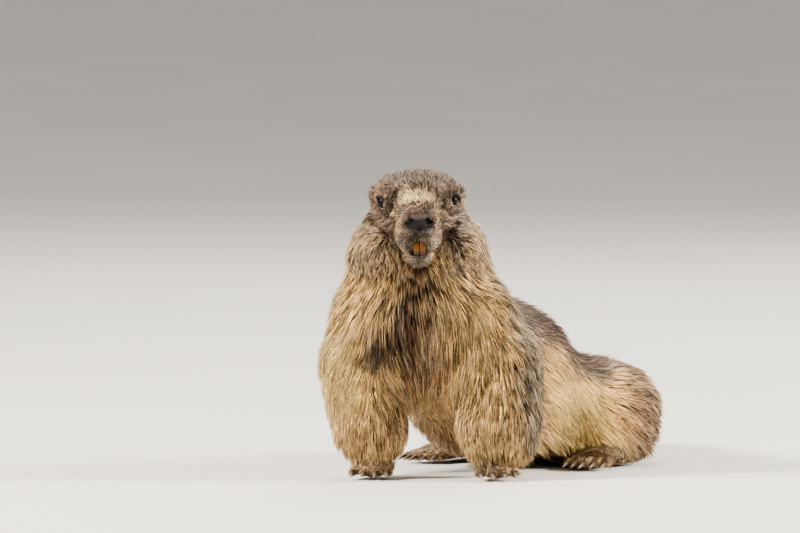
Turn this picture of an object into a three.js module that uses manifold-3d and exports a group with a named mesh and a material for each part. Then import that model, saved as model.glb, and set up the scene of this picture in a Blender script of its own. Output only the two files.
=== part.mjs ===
// Alpine marmot resting on its hindquarters and propped up on its forelegs, life size.
// Millimetres, +Z up. The face looks along -Y and the trunk runs back and to +X.
import * as THREE from "three";
import { mergeVertices } from "three/addons/utils/BufferGeometryUtils.js";
import Module from "manifold-3d";

const wasm = await Module();
wasm.setup();

// Driving dimensions
const gap = 0.3; // between neighbouring parts
const headHeight = 240; // eye-line centre above the floor
const headTilt = 1.6; // degrees, left eye higher
const shoulderTurn = 15; // degrees that the forequarters turn from the face
const trunkTurn = 31; // degrees that the trunk turns from the face
const shoulderPlace = [4, 55]; // floor point under the shoulders
const eyeRadius = 6.3;
const eyePlace = [29.5, -17.5, 8.5];
const shaggy = 7; // coats deeper than this grow in locks
const coreShare = 0.5; // part of a shaggy coat's depth that the solid core leaves to the locks

// Frames: x to the animal's left, y to its back, z up
function frameAt(x, y, z, turn, tilt = 0) {
  const turned = new THREE.Euler(0, THREE.MathUtils.degToRad(-tilt), THREE.MathUtils.degToRad(-turn), "ZYX");
  return new THREE.Matrix4().makeRotationFromEuler(turned).setPosition(x, y, z);
}
const world = frameAt(0, 0, 0, 0);
const headFrame = frameAt(0, 0, headHeight, 0, headTilt);
const foreFrame = frameAt(...shoulderPlace, 0, shoulderTurn);
const trunkFrame = frameAt(...shoulderPlace, 0, trunkTurn);

const at = (frame, [x, y, z]) => new THREE.Vector3(x, y, z).applyMatrix4(frame);
const turnTo = (frame, [x, y, z]) => new THREE.Vector3(x, y, z).transformDirection(frame);
const mirrored = ([x, y, z]) => [-x, y, z];

// A form is a tapered limb, or a ball where it has one end, out to the tips of the coat.
// squash scales its section, blend is the width of the fillet where it joins the others,
// coat is the depth of fur on it and lie is the way that the fur points.
function limb(frame, from, to, fromRadius, toRadius, look = {}) {
  const { squash = [1, 1, 1], blend = 14, coat = 14, lie } = look;
  const heading = lie ?? to.map((value, i) => value - from[i]);
  return {
    inverse: frame.clone().invert(),
    from: from.map((value, i) => value / squash[i]),
    step: to.map((value, i) => (value - from[i]) / squash[i]),
    fromRadius,
    toRadius,
    squash,
    blend,
    coat,
    lie: turnTo(frame, heading),
  };
}
const ball = (frame, centre, radii, look) =>
  limb(frame, centre, centre, radii[0], radii[0], { ...look, squash: radii.map((r) => r / radii[0]) });
const limbPair = (frame, from, to, fromRadius, toRadius, look = {}) =>
  [1, -1].map((side) => {
    const turned = (p) => (side > 0 ? p : mirrored(p));
    const lie = look.lie && turned(look.lie);
    return limb(frame, turned(from), turned(to), fromRadius, toRadius, { ...look, lie });
  });
const ballPair = (frame, centre, radii, look) =>
  [1, -1].map((side) =>
    ball(frame, side > 0 ? centre : mirrored(centre), radii, {
      ...look,
      lie: side > 0 ? look.lie : mirrored(look.lie),
    }),
  );

// First-order distance from a point to a form, below zero inside
function distanceTo(form, x, y, z) {
  const m = form.inverse.elements;
  const [sx, sy, sz] = form.squash;
  const lx = (m[0] * x + m[4] * y + m[8] * z + m[12]) / sx;
  const ly = (m[1] * x + m[5] * y + m[9] * z + m[13]) / sy;
  const lz = (m[2] * x + m[6] * y + m[10] * z + m[14]) / sz;
  const [ax, ay, az] = form.from;
  const [dx, dy, dz] = form.step;
  const length2 = dx * dx + dy * dy + dz * dz;
  const along = length2 && ((lx - ax) * dx + (ly - ay) * dy + (lz - az) * dz) / length2;
  const share = Math.min(1, Math.max(0, along));
  const wx = lx - ax - dx * share;
  const wy = ly - ay - dy * share;
  const wz = lz - az - dz * share;
  const reach = Math.sqrt(wx * wx + wy * wy + wz * wz) + 1e-6;
  const slope = Math.sqrt((wx / sx) ** 2 + (wy / sy) ** 2 + (wz / sz) ** 2) / reach + 1e-6;
  const radius = form.fromRadius + (form.toRadius - form.fromRadius) * share;
  return (reach - radius) / slope;
}
function smoothMin(a, b, width) {
  const near = Math.max(width - Math.abs(a - b), 0) / width;
  return Math.min(a, b) - (near * near * width) / 4;
}

// Head
const shortFur = { coat: 4 };
const head = [
  ball(headFrame, [-1, 12, 11.5], [39, 42, 23], { ...shortFur, blend: 10, lie: [0, 1, 0] }),
  ball(headFrame, [0, 4, -8], [41, 33, 24], { ...shortFur, blend: 12, lie: [0, 1, -0.2] }),
  limb(headFrame, [0, -18, 2], [0, -49, -7], 24, 15.5, { ...shortFur, blend: 12, lie: [0, 1, 0.3] }),
  ball(headFrame, [0, -38, -18], [21, 25, 19], { ...shortFur, blend: 8, lie: [0, 1, 0] }),
  limb(headFrame, [0, -6, -33], [0, -42, -37], 21, 10, { ...shortFur, blend: 7, lie: [0, 1, -0.2] }),
  ...ballPair(headFrame, [33, 5, -30], [24, 33, 27], { coat: 7, blend: 16, lie: [0.4, 1, -0.6] }),
  ...ballPair(headFrame, [26, -14, 8], [9, 9, 9], { ...shortFur, blend: 8, lie: [0.5, 1, 0] }),
  ...limbPair(headFrame, [23, -25, 16], [34, -2, 15], 6, 8, { ...shortFur, blend: 7, lie: [0.3, 1, 0.2] }),
];
const muzzle = [
  ...ballPair(headFrame, [9.5, -49, -21], [11, 14.5, 11], { coat: 3, blend: 4, lie: [0.5, 1, -0.3] }),
  ball(headFrame, [0, -44, -41], [11, 13, 7.5], { coat: 3, blend: 6, lie: [0, 1, -0.4] }),
];

// Neck, chest and shoulders
const forequarters = [
  limb(world, [0, 36, 206], [2, 62, 160], 50, 66, { blend: 22, coat: 17, lie: [0, 0.3, -1] }),
  ...ballPair(world, [38, 46, 194], [25, 36, 32], { blend: 18, coat: 17, lie: [0.4, 0.4, -1] }),
  ball(foreFrame, [0, 0, 128], [64, 62, 62], { blend: 24, coat: 18, lie: [0, 0.1, -1] }),
  ...limbPair(foreFrame, [48, 6, 138], [52, -2, 96], 38, 38, { blend: 20, coat: 17 }),
];

// Each foreleg stands on its own floor point
const forelegs = [
  { side: "left", paw: [68, 20], elbow: [66, 36, 95], girth: 1.08, turn: -6 },
  { side: "right", paw: [-39, 38], elbow: [-44, 60, 95], girth: 1, turn: 8 },
];
const toeSpread = [-12.5, -4.3, 4.3, 12.5];
for (const leg of forelegs) leg.frame = frameAt(...leg.paw, 0, leg.turn);
function forelegForms({ paw: [x, y], elbow, girth, frame }) {
  const wrist = [x, y, 38];
  const toes = toeSpread.map((across) =>
    limb(frame, [across * 0.8, -6, 10], [across * 1.25, -26 + Math.abs(across) * 0.35, 6], 6.5, 5.2, {
      blend: 4,
      coat: 2,
    }),
  );
  return [
    limb(world, elbow, wrist, 38 * girth, 33 * girth, { blend: 16, coat: 13 }),
    limb(world, wrist, [x, y - 2, 20], 31 * girth, 19, { blend: 10, coat: 7 }),
    ball(frame, [0, -4, 9], [16, 21, 10], { blend: 8, coat: 2, lie: [0, -1, -0.2] }),
    ...toes,
  ];
}

// Trunk, hindquarters and hind feet
const hindquarters = [
  limb(trunkFrame, [0, 40, 112], [0, 130, 84], 64, 64, { squash: [1.1, 1, 1], blend: 26, coat: 17 }),
  limb(trunkFrame, [0, 130, 84], [0, 212, 56], 62, 54, { squash: [1.15, 1, 1], blend: 26, coat: 17 }),
  limb(trunkFrame, [0, 105, 56], [0, 180, 54], 44, 44, { squash: [1.6, 1, 1], blend: 26, coat: 17 }),
  ball(trunkFrame, [1, 245, 50], [75, 60, 51], { blend: 24, coat: 17, lie: [0, 1, -0.3] }),
  ball(trunkFrame, [0, 288, 42], [50, 34, 38], { blend: 20, coat: 17, lie: [0, 1, -0.3] }),
  ...ballPair(trunkFrame, [60, 228, 48], [41, 58, 48], { blend: 18, coat: 16, lie: [0.25, 1, -0.35] }),
];
const hindToeSpread = [-15, -7.5, 0, 7.5, 15];
const hindFootFrame = (side) => {
  const [x, y] = at(trunkFrame, [side * 78, 200, 0]).toArray();
  return frameAt(x, y, 0, trunkTurn - side * 8);
};
function hindFootForms(side) {
  const frame = hindFootFrame(side);
  const toes = hindToeSpread.map((across) =>
    limb(frame, [across * 0.8, -38, 9], [across * 1.2, -63 + Math.abs(across) * 0.5, 6], 6.5, 5.2, {
      blend: 4,
      coat: 2,
    }),
  );
  const foot = limb(frame, [0, 38, 11], [0, -38, 9], 11, 10, { squash: [1.55, 1, 1], blend: 8, coat: 3 });
  return [foot, ...toes];
}

// The tail leaves the rump, drops to the floor and curls round behind it
const tailLine = new THREE.CatmullRomCurve3(
  [
    [158, 308, 50],
    [175, 345, 38],
    [180, 386, 31],
    [164, 424, 29],
    [132, 446, 27],
  ].map((p) => new THREE.Vector3(...p)),
);
const tailSteps = 6;
const tailRadius = (share) => 23 + 10 * Math.sin(Math.PI * share ** 0.8) - 10 * share;
const tail = Array.from({ length: tailSteps }, (_, i) => {
  const [from, to] = [i / tailSteps, (i + 1) / tailSteps];
  const ends = [from, to].map((share) => tailLine.getPoint(share).toArray());
  return limb(world, ...ends, tailRadius(from), tailRadius(to), { blend: 10, coat: 19 });
});

const forms = [
  ...head,
  ...muzzle,
  ...forequarters,
  ...forelegs.flatMap(forelegForms),
  ...hindquarters,
  ...hindFootForms(1),
  ...hindFootForms(-1),
  ...tail,
];

// The coat's outer surface, and the depth and lie of the fur near a point
function coatSurface(x, y, z) {
  let distance = 1e3;
  for (const form of forms) distance = smoothMin(distance, distanceTo(form, x, y, z), form.blend);
  return distance;
}
const near = 7; // mm over which a form's say in the coat fades
function coatAt(x, y, z) {
  const lie = new THREE.Vector3();
  let [depth, open, total] = [0, 0, 0];
  for (const form of forms) {
    const weight = 1 / (1 + (Math.max(distanceTo(form, x, y, z), 0) / near) ** 2) ** 2;
    depth += weight * form.coat;
    open += form.coat > shaggy ? weight * form.coat : 0;
    total += weight;
    lie.addScaledVector(form.lie, weight);
  }
  const lifted = THREE.MathUtils.smoothstep(z, 0, 36); // the core still rests on the floor
  return { depth: depth / total, retreat: (open / total) * coreShare * lifted, lie };
}
function coreSurface(x, y, z) {
  const distance = coatSurface(x, y, z);
  return distance > 12 || distance < -20 ? distance : distance + coatAt(x, y, z).retreat;
}

// Gradient of a field, for normals and for sliding points on to its surface
function slopeOf(field, p, step = 0.5) {
  return new THREE.Vector3(
    field(p.x + step, p.y, p.z) - field(p.x - step, p.y, p.z),
    field(p.x, p.y + step, p.z) - field(p.x, p.y - step, p.z),
    field(p.x, p.y, p.z + step) - field(p.x, p.y, p.z - step),
  ).divideScalar(2 * step);
}
function settle(field, p, level = 0, most = 4) {
  for (let i = 0; i < 3; i++) {
    const slope = slopeOf(field, p);
    const off = (field(p.x, p.y, p.z) - level) / Math.max(slope.lengthSq(), 0.2);
    p.addScaledVector(slope, -THREE.MathUtils.clamp(off, -most, most));
  }
  return p;
}

// Surface net: one vertex in each grid cell that the surface crosses, and one quad for each crossed edge
function netFrom(field, low, high, cell) {
  const count = low.map((value, i) => Math.ceil((high[i] - value) / cell) + 3);
  const place = (i, axis) => low[axis] + (i - 1) * cell;
  const inside = (i, j, k) => {
    const p = [place(i, 0), place(j, 1), place(k, 2)];
    const wall = Math.max(...p.map((value, axis) => Math.max(low[axis] - value, value - high[axis])));
    return Math.max(field(...p), wall);
  };
  const index = (i, j, k) => (i * count[1] + j) * count[2] + k;
  const values = new Float64Array(count[0] * count[1] * count[2]);
  for (let i = 0; i < count[0]; i++)
    for (let j = 0; j < count[1]; j++)
      for (let k = 0; k < count[2]; k++) values[index(i, j, k)] = inside(i, j, k);
  const corners = [0, 1, 2, 3, 4, 5, 6, 7].map((n) => [n & 1, (n >> 1) & 1, (n >> 2) & 1]);
  const edges = corners.flatMap((a, i) =>
    corners.flatMap((b, j) => (j > i && a.filter((v, axis) => v !== b[axis]).length === 1 ? [[a, b]] : [])),
  );
  const vertexOf = new Map();
  const positions = [];
  const vertexAt = (i, j, k) => {
    const key = index(i, j, k);
    if (vertexOf.has(key)) return vertexOf.get(key);
    const sum = new THREE.Vector3();
    let crossed = 0;
    for (const [a, b] of edges) {
      const va = values[index(i + a[0], j + a[1], k + a[2])];
      const vb = values[index(i + b[0], j + b[1], k + b[2])];
      if (va < 0 === vb < 0) continue;
      const share = va / (va - vb);
      const mix = a.map((value, axis) => value + (b[axis] - value) * share);
      sum.add(new THREE.Vector3(...mix));
      crossed++;
    }
    sum.divideScalar(crossed);
    const p = new THREE.Vector3(place(i + sum.x, 0), place(j + sum.y, 1), place(k + sum.z, 2));
    const within = p.toArray().every((value, axis) => value > low[axis] + cell && value < high[axis] - cell);
    if (within) settle(field, p, 0, cell / 3);
    positions.push(...p);
    vertexOf.set(key, positions.length / 3 - 1);
    return positions.length / 3 - 1;
  };
  const triangles = [];
  const corner = (n) => new THREE.Vector3().fromArray(positions, n * 3);
  for (let i = 1; i < count[0] - 1; i++)
    for (let j = 1; j < count[1] - 1; j++)
      for (let k = 1; k < count[2] - 1; k++)
        for (const axis of [0, 1, 2]) {
          const next = [i, j, k];
          next[axis]++;
          const starts = values[index(i, j, k)] < 0;
          if (starts === values[index(...next)] < 0) continue;
          const [u, v] = [(axis + 1) % 3, (axis + 2) % 3];
          const quad = [[0, 0], [1, 0], [1, 1], [0, 1]].map(([du, dv]) => {
            const cellAt = [i, j, k];
            cellAt[u] -= du;
            cellAt[v] -= dv;
            return vertexAt(...cellAt);
          });
          if (!starts) quad.reverse();
          const [a, b, c, d] = quad;
          const short = corner(a).distanceTo(corner(c)) < corner(b).distanceTo(corner(d));
          triangles.push(...(short ? [a, b, c, a, c, d] : [a, b, d, b, c, d]));
        }
  return { positions, triangles };
}
// Moves and tightens the grid a little where two sheets of the surface would share an edge
function netOf(field, low, high, cell) {
  for (let tries = 0; tries < 30; tries++) {
    const start = low.map((value, axis) => value - ((tries * (axis + 2)) % 7) * (cell / 7));
    const { positions, triangles } = netFrom(field, start, high, cell * (1 - tries * 0.006));
    const edges = triangles.map((v, i) => `${v} ${triangles[i % 3 < 2 ? i + 1 : i - 2]}`);
    if (new Set(edges).size === edges.length) return solidFrom(positions, triangles);
  }
  throw new Error("no clean net");
}

// Solids
function solidFrom(positions, triangles) {
  const mesh = new wasm.Mesh({
    numProp: 3,
    vertProperties: new Float32Array(positions),
    triVerts: new Uint32Array(triangles),
  });
  mesh.merge();
  return new wasm.Manifold(mesh);
}
function solidOf(geometry, matrix = world) {
  const bare = geometry.clone().applyMatrix4(matrix);
  bare.deleteAttribute("normal");
  bare.deleteAttribute("uv");
  const merged = mergeVertices(bare, 1e-3);
  return solidFrom(merged.attributes.position.array, merged.index.array);
}

const far = 1200;
// The half of space past a plane, from a point along a normal, moved on by a margin
function beyond(frame, point, normal, margin = 0) {
  const facing = turnTo(frame, normal);
  const turned = new THREE.Quaternion().setFromUnitVectors(new THREE.Vector3(0, 0, 1), facing);
  const centre = at(frame, point).addScaledVector(facing, far / 2 + margin);
  const matrix = new THREE.Matrix4().compose(centre, turned, new THREE.Vector3(1, 1, 1));
  return solidOf(new THREE.BoxGeometry(far, far, far), matrix);
}
// Splits a solid at a plane into the piece before it and the piece past it
function split(solid, frame, point, normal) {
  const past = beyond(frame, point, normal, gap / 2);
  const before = beyond(frame, point, normal.map((value) => -value), gap / 2);
  return [solid.intersect(before), solid.intersect(past)];
}
const largest = (solid) => solid.decompose().sort((a, b) => b.volume() - a.volume())[0];

// A domed post, round or oval, that parts a leg from the body
function legCutter(frame, centre, radii, foot, grow) {
  const rings = 3;
  const profile = [new THREE.Vector2(0, -foot - grow), new THREE.Vector2(1, -foot - grow)];
  for (let i = 0; i <= rings; i++) {
    const angle = (i / rings) * (Math.PI / 2);
    profile.push(new THREE.Vector2(i === rings ? 0 : Math.cos(angle), Math.sin(angle) * (radii[2] + grow)));
  }
  const scale = new THREE.Matrix4().makeScale(radii[0] + grow, radii[1] + grow, 1);
  const upright = new THREE.Matrix4().makeRotationX(Math.PI / 2);
  const matrix = frame.clone().multiply(new THREE.Matrix4().setPosition(...centre));
  return solidOf(new THREE.LatheGeometry(profile, 12), matrix.multiply(scale).multiply(upright));
}

// A closed ball, squashed and turned
function ovoid(frame, [x, y, z], [rx, ry, rz], { turn = 0, tip = 0, rows = 10, grow = 0 } = {}) {
  const matrix = frame.clone().multiply(frameAt(x, y, z, turn, tip));
  matrix.scale(new THREE.Vector3(rx + grow, ry + grow, rz + grow));
  return solidOf(new THREE.SphereGeometry(1, rows * 2 - 4, rows), matrix);
}
// A closed skin over rings of points, capped at the first and at the last, which can be one point
function loft(rings) {
  const sides = rings[0].length;
  const positions = rings.flat().flatMap((p) => p.toArray());
  const triangles = [];
  for (let i = 0; i + 1 < rings.length; i++)
    for (let j = 0; j < sides; j++) {
      const [a, b] = [i * sides + j, i * sides + ((j + 1) % sides)];
      if (rings[i + 1].length === 1) triangles.push(a, b, (i + 1) * sides);
      else triangles.push(a, b, b + sides, a, b + sides, a + sides);
    }
  const last = (rings.length - 1) * sides;
  for (let j = 1; j + 1 < sides; j++) {
    triangles.push(0, j + 1, j);
    if (rings.at(-1).length > 1) triangles.push(last, last + j, last + j + 1);
  }
  const solid = solidFrom(positions, triangles);
  return solid.volume() > 0 ? solid : solidFrom(positions, triangles.reverse());
}

// Locks of the coat, laid shingle-wise along the lie
const lock = {
  seed: 3,
  tries: 9000,
  apart: [43, 21], // along and across the lie
  length: 66,
  width: 28,
  thickness: 7.5,
  sink: 6,
  stray: 0.15, // how far a lock leaves the lie, as a share of its length
  clear: 24, // tips end above the feet
  tailClear: 5,
};
function randomFrom(seed) {
  let state = seed;
  return () => {
    state = (state + 0x6d2b79f5) | 0;
    let mixed = Math.imul(state ^ (state >>> 15), 1 | state);
    mixed = (mixed + Math.imul(mixed ^ (mixed >>> 7), 61 | mixed)) ^ mixed;
    return ((mixed ^ (mixed >>> 14)) >>> 0) / 4294967296;
  };
}
// Normal, lie and side of the coat at a point, and how far the lie is from standing on end
function furFrame(p) {
  const normal = slopeOf(coatSurface, p, 2).normalize();
  const { lie, retreat } = coatAt(p.x, p.y, p.z);
  lie.normalize();
  lie.z -= 0.15;
  lie.addScaledVector(normal, -lie.dot(normal));
  const laid = lie.length();
  lie.normalize();
  return { normal, lie, laid, side: new THREE.Vector3().crossVectors(lie, normal), retreat };
}
// Share of the length, width, thickness, and how much of the core's retreat lies over the middle
const lockShape = [
  [-0.04, 0.66, 0.9, 1],
  [0.3, 1, 1, 0.7],
  [0.68, 0.72, 0.66, 0.26],
  [1, 0, 0, -0.15],
];
function lockAt(root, random) {
  const bold = 0.85 + 0.3 * random();
  const stray = (random() - 0.5) * 2 * lock.stray;
  const lowest = root.y > 300 ? lock.tailClear : lock.clear;
  const fall = -furFrame(root).lie.z * lock.length;
  const size = fall > 0 ? Math.min(bold, (root.z - lowest) / fall) : bold;
  if (size < 0.5) return;
  const p = root.clone();
  let travelled = 0;
  const rings = [];
  const stations = [];
  for (const [share, width, thickness, over] of lockShape) {
    const here = furFrame(p);
    const heading = here.lie.addScaledVector(here.side, stray * (0.5 + share)).normalize();
    p.addScaledVector(heading, share * lock.length * size - travelled);
    travelled = share * lock.length * size;
    const station = furFrame(p);
    const { normal, side, retreat } = station;
    settle(coatSurface, p, -over * retreat - (share < 0 ? lock.sink : 0), 8);
    const half = (lock.width / 2) * width * size;
    const thick = (lock.thickness / 2) * thickness;
    const ring = [[1, -0.6], [0, 1], [-1, -0.6]].map(([u, v]) =>
      p.clone().addScaledVector(side, u * half).addScaledVector(normal, v * thick),
    );
    rings.push(share < 1 ? ring : [p.clone()]);
    stations.push({ ...station, heading, p: p.clone() });
  }
  const folded = stations.some(({ normal, side, p, heading }, i) => {
    const last = stations[i - 1];
    if (!last) return false;
    const step = p.clone().sub(last.p);
    const held = rings[i].every((q, j) => q.clone().sub(rings[i - 1][j]).dot(step) > 0.35 * step.lengthSq());
    return side.dot(last.side) < 0.75 || normal.dot(last.normal) < 0.4 || heading.dot(step) < 8 || !held;
  });
  const low = rings.flat().some((q) => q.z < 2);
  if (!folded && !low) return loft(rings);
}
function growLocks(net) {
  const random = randomFrom(lock.seed);
  const { vertProperties, triVerts } = net.getMesh();
  const corner = (i) => new THREE.Vector3().fromArray(vertProperties, triVerts[i] * 3);
  const triangles = Array.from({ length: triVerts.length / 3 }, (_, i) =>
    new THREE.Triangle(corner(i * 3), corner(i * 3 + 1), corner(i * 3 + 2)),
  );
  const reach = [];
  let area = 0;
  for (const triangle of triangles) reach.push((area += triangle.getArea()));
  const grown = [];
  for (let i = 0; i < lock.tries; i++) {
    const mark = random() * area;
    const triangle = triangles[reach.findIndex((value) => value > mark)];
    const [u, v] = [Math.sqrt(random()), random()];
    const p = triangle.a.clone().multiplyScalar(1 - u);
    p.addScaledVector(triangle.b, u * (1 - v)).addScaledVector(triangle.c, u * v);
    const here = furFrame(p);
    if (here.retreat < (shaggy * coreShare) / 2 || here.normal.z < -0.75 || here.laid < 0.4) continue;
    const crowded = grown.some((other) => {
      const away = other.p.clone().sub(p);
      const share = [
        away.dot(here.lie) / lock.apart[0],
        away.dot(here.side) / lock.apart[1],
        away.dot(here.normal) / lock.apart[1],
      ];
      return Math.hypot(...share) < 1;
    });
    if (!crowded) grown.push({ p });
  }
  return grown.map(({ p }) => lockAt(p, random)).filter(Boolean);
}

const floor = beyond(world, [0, 0, 0], [0, 0, 1]);
const nodes = new Map();
const keep = (name, solid) => nodes.set(name, largest(solid.intersect(floor)));

// The whole body at body scale, then parted
const bodyCell = 18;
const footCell = 7.6;
const pawCell = 6.2;
const core = netOf(coreSurface, [-110, -60, -12], [250, 490, 262], bodyCell);
const locks = wasm.Manifold.union(growLocks(core));
const body = core.add(locks);
const neckPlane = [[0, 28, 227], [0, 0.887, -0.461]];
const chestPlane = [[0, 55, 186], [0, 0.42, -0.9]];
let rest = body;
const takeLeg = (...place) => {
  const leg = rest.intersect(legCutter(...place, 0));
  rest = rest.subtract(legCutter(...place, gap));
  return leg;
};
// Claws, curved down to the floor from the ends of the toes
const claw = { length: 11, girth: 4.2, droop: 3.2 };
const clawsOf = (frame, ends) =>
  ends.map(([x, y, z]) => {
    const stations = [[3, 0, 1], [-0.45 * claw.length, 0.4, 0.75], [-claw.length, -claw.droop, 0]];
    const rings = stations.map(([along, rise, share]) => {
      const ring = [[1, -0.5], [0, 1], [-1, -0.5]].map(([u, v]) =>
        at(frame, [x + (u * claw.girth * share) / 2, y + along, z + rise + (v * claw.girth * share) / 2]),
      );
      return share ? ring : [ring[1]];
    });
    return loft(rings);
  });
for (const leg of forelegs) {
  const [x, y] = leg.paw;
  const place = [world, [leg.elbow[0] * 1.04, (leg.elbow[1] + y) / 2 - 4, 96], [50, 56, 52], 110];
  const net = netOf(coreSurface, [x - 52, y - 60, -12], [x + 52, y + 62, 34], pawCell);
  const ends = toeSpread.map((across) => [across * 1.25, -30 + Math.abs(across) * 0.35, 6]);
  const paw = split(net.intersect(legCutter(...place, 0)), world, [0, 0, 22], [0, 0, 1])[0];
  keep(`foreleg_${leg.side}`, split(takeLeg(...place), world, [0, 0, 22], [0, 0, 1])[1]);
  keep(`forepaw_${leg.side}`, wasm.Manifold.union([paw, ...clawsOf(leg.frame, ends)]));
}
for (const [side, name] of [[1, "left"], [-1, "right"]]) {
  const frame = hindFootFrame(side);
  const [x, y] = at(frame, [0, -28, 0]).toArray();
  const sole = (grow) =>
    solidOf(
      new THREE.BoxGeometry(52 + 2 * grow, 100 + 2 * grow, 38 + 2 * grow),
      frame.clone().multiply(frameAt(0, -28, 0, 0)),
    );
  const net = netOf(coreSurface, [x - 62, y - 70, -12], [x + 62, y + 70, 31], footCell);
  const ends = hindToeSpread.map((across) => [across * 1.2, -67 + Math.abs(across) * 0.5, 6]);
  keep(`hind_foot_${name}`, wasm.Manifold.union([net.intersect(sole(0)), ...clawsOf(frame, ends)]));
  rest = rest.subtract(sole(gap));
  keep(`thigh_${name}`, takeLeg(trunkFrame, [side * 78, 214, 40], [46, 92, 44], 60));
}
const [front, back] = split(rest, trunkFrame, [0, 70, 100], [0, 1, 0]);
const [neckUp, chest] = split(front, world, ...chestPlane);
keep("neck", neckUp.intersect(beyond(world, neckPlane[0], neckPlane[1], gap / 2)));
keep("chest", chest);
const [trunk, hind] = split(back, trunkFrame, [0, 168, 80], [0, 1, 0]);
keep("trunk", trunk);
const [rump, tailSolid] = split(hind, world, [160, 314, 46], [0.35, 0.9, -0.25]);
keep("rump", rump);
keep("tail", tailSolid);

// The head and muzzle at their own scale
const headCell = 7.1;
const muzzleCell = 4.6;
const muzzlePlane = [[0, -35, -12], [0, -1, 0]];
const headNet = netOf(coreSurface, [-78, -50, 165], [78, 75, 290], headCell).add(locks);
const muzzleNet = netOf(coatSurface, [-45, -85, 178], [45, -25, 262], muzzleCell);
let cranium = split(headNet, headFrame, ...muzzlePlane)[0];
cranium = split(cranium, world, ...neckPlane)[0];
let snout = split(muzzleNet, headFrame, ...muzzlePlane)[1];

// Eyes, deep-set behind lids
const lidRing = { reach: 5.4, tube: 1.9, forward: 2.6 };
for (const [side, name] of [[1, "left"], [-1, "right"]]) {
  const place = [side * eyePlace[0], eyePlace[1], eyePlace[2]];
  const facing = new THREE.Vector3(side * 0.78, -0.6, 0.12).normalize();
  const turned = new THREE.Quaternion().setFromUnitVectors(new THREE.Vector3(0, 0, 1), facing);
  const lidMatrix = new THREE.Matrix4().compose(
    new THREE.Vector3(...place).addScaledVector(facing, lidRing.forward),
    turned,
    new THREE.Vector3(1.12, 0.94, 1),
  );
  const ring = new THREE.TorusGeometry(lidRing.reach, lidRing.tube, 7, 16);
  const lid = solidOf(ring, headFrame.clone().multiply(lidMatrix));
  const eye = ovoid(headFrame, place, [eyeRadius, eyeRadius, eyeRadius], { rows: 7 });
  const socket = ovoid(headFrame, place, [eyeRadius, eyeRadius, eyeRadius], { rows: 7, grow: gap });
  cranium = cranium.add(lid).subtract(socket);
  keep(`eye_${name}`, eye);
}

// Ears, small round cups low on the corners of the head
const earPlace = [35.5, 17, 14.5];
const earRadii = [9, 5, 10];
for (const [side, name] of [[1, "left"], [-1, "right"]]) {
  const place = [side * earPlace[0], earPlace[1], earPlace[2]];
  const shape = { turn: side * -38, tip: side * 18, rows: 7 };
  const outer = ovoid(headFrame, place, earRadii, shape);
  const hollowPlace = [place[0] + side * 2.5, place[1] - 4.5, place[2] + 1.5];
  const hollow = ovoid(headFrame, hollowPlace, [6.5, 4.5, 7.5], shape);
  cranium = cranium.subtract(ovoid(headFrame, place, earRadii, { ...shape, grow: gap }));
  keep(`ear_${name}`, outer.subtract(hollow));
}

// Nose pad with its nostrils and the cleft between them
const nosePlace = [0.5, -59, -8.5];
const noseRadii = [13.5, 9.5, 7.5];
let nose = ovoid(headFrame, nosePlace, noseRadii, { rows: 9 });
for (const side of [1, -1]) {
  const nostrilPlace = [0.5 + side * 6.2, -68.5, -10];
  nose = nose.subtract(ovoid(headFrame, nostrilPlace, [3.1, 4.5, 2], { tip: side * 28, rows: 6 }));
}
nose = nose.subtract(ovoid(headFrame, [0.5, -70, -13.5], [0.9, 4, 5], { rows: 5 }));
snout = snout.subtract(ovoid(headFrame, nosePlace, noseRadii, { rows: 9, grow: gap }));
keep("nose", nose);

// The mouth stands open by the width of the incisors' tips
const mouthHollow = ovoid(headFrame, [0, -50, -33], [7.5, 17, 6.5], { rows: 7 });
const lipLine = ovoid(headFrame, [0, -36, -34.5], [26, 30, 1.6], { rows: 7 });
const jawBlock = (grow) =>
  solidOf(
    new THREE.BoxGeometry(40 + 2 * grow, 60 + 2 * grow, 40 + 2 * grow),
    headFrame.clone().multiply(frameAt(0, -60, -55, 0)),
  );
snout = snout.subtract(mouthHollow).subtract(lipLine);
keep("jaw", snout.intersect(jawBlock(0)));
snout = snout.subtract(jawBlock(gap));
const incisor = { width: 5, depth: 4, top: -24, tip: -36, y: -58, bow: 3 };
for (const [side, name] of [[1, "left"], [-1, "right"]]) {
  const steps = [0, 0.35, 0.7, 1];
  const rings = steps.map((share) => {
    const z = THREE.MathUtils.lerp(incisor.top, incisor.tip, share);
    const y = incisor.y - incisor.bow * Math.sin(share * 1.9) + 1.5 * share;
    const half = [incisor.width / 2 - 0.15, (incisor.depth / 2) * (1 - 0.75 * share)];
    const corners = [[-1, 1], [-1, -0.5], [-0.5, -1], [0.5, -1], [1, -0.5], [1, 1]];
    const middle = (side * incisor.width) / 2;
    return corners.map(([u, v]) => at(headFrame, [middle + u * half[0], y + v * half[1], z]));
  });
  const tooth = loft(rings);
  const seat = rings.map((ring, i) => {
    const middle = ring.reduce((sum, p) => sum.add(p), new THREE.Vector3()).divideScalar(ring.length);
    const lifted = new THREE.Vector3(0, 0, i ? 0 : 1);
    return ring.map((p) => p.clone().sub(middle).multiplyScalar(1.25).add(middle).add(lifted));
  });
  snout = snout.subtract(loft(seat));
  keep(`incisor_${name}`, tooth);
}
keep("muzzle", snout);
keep("head", cranium);

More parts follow.
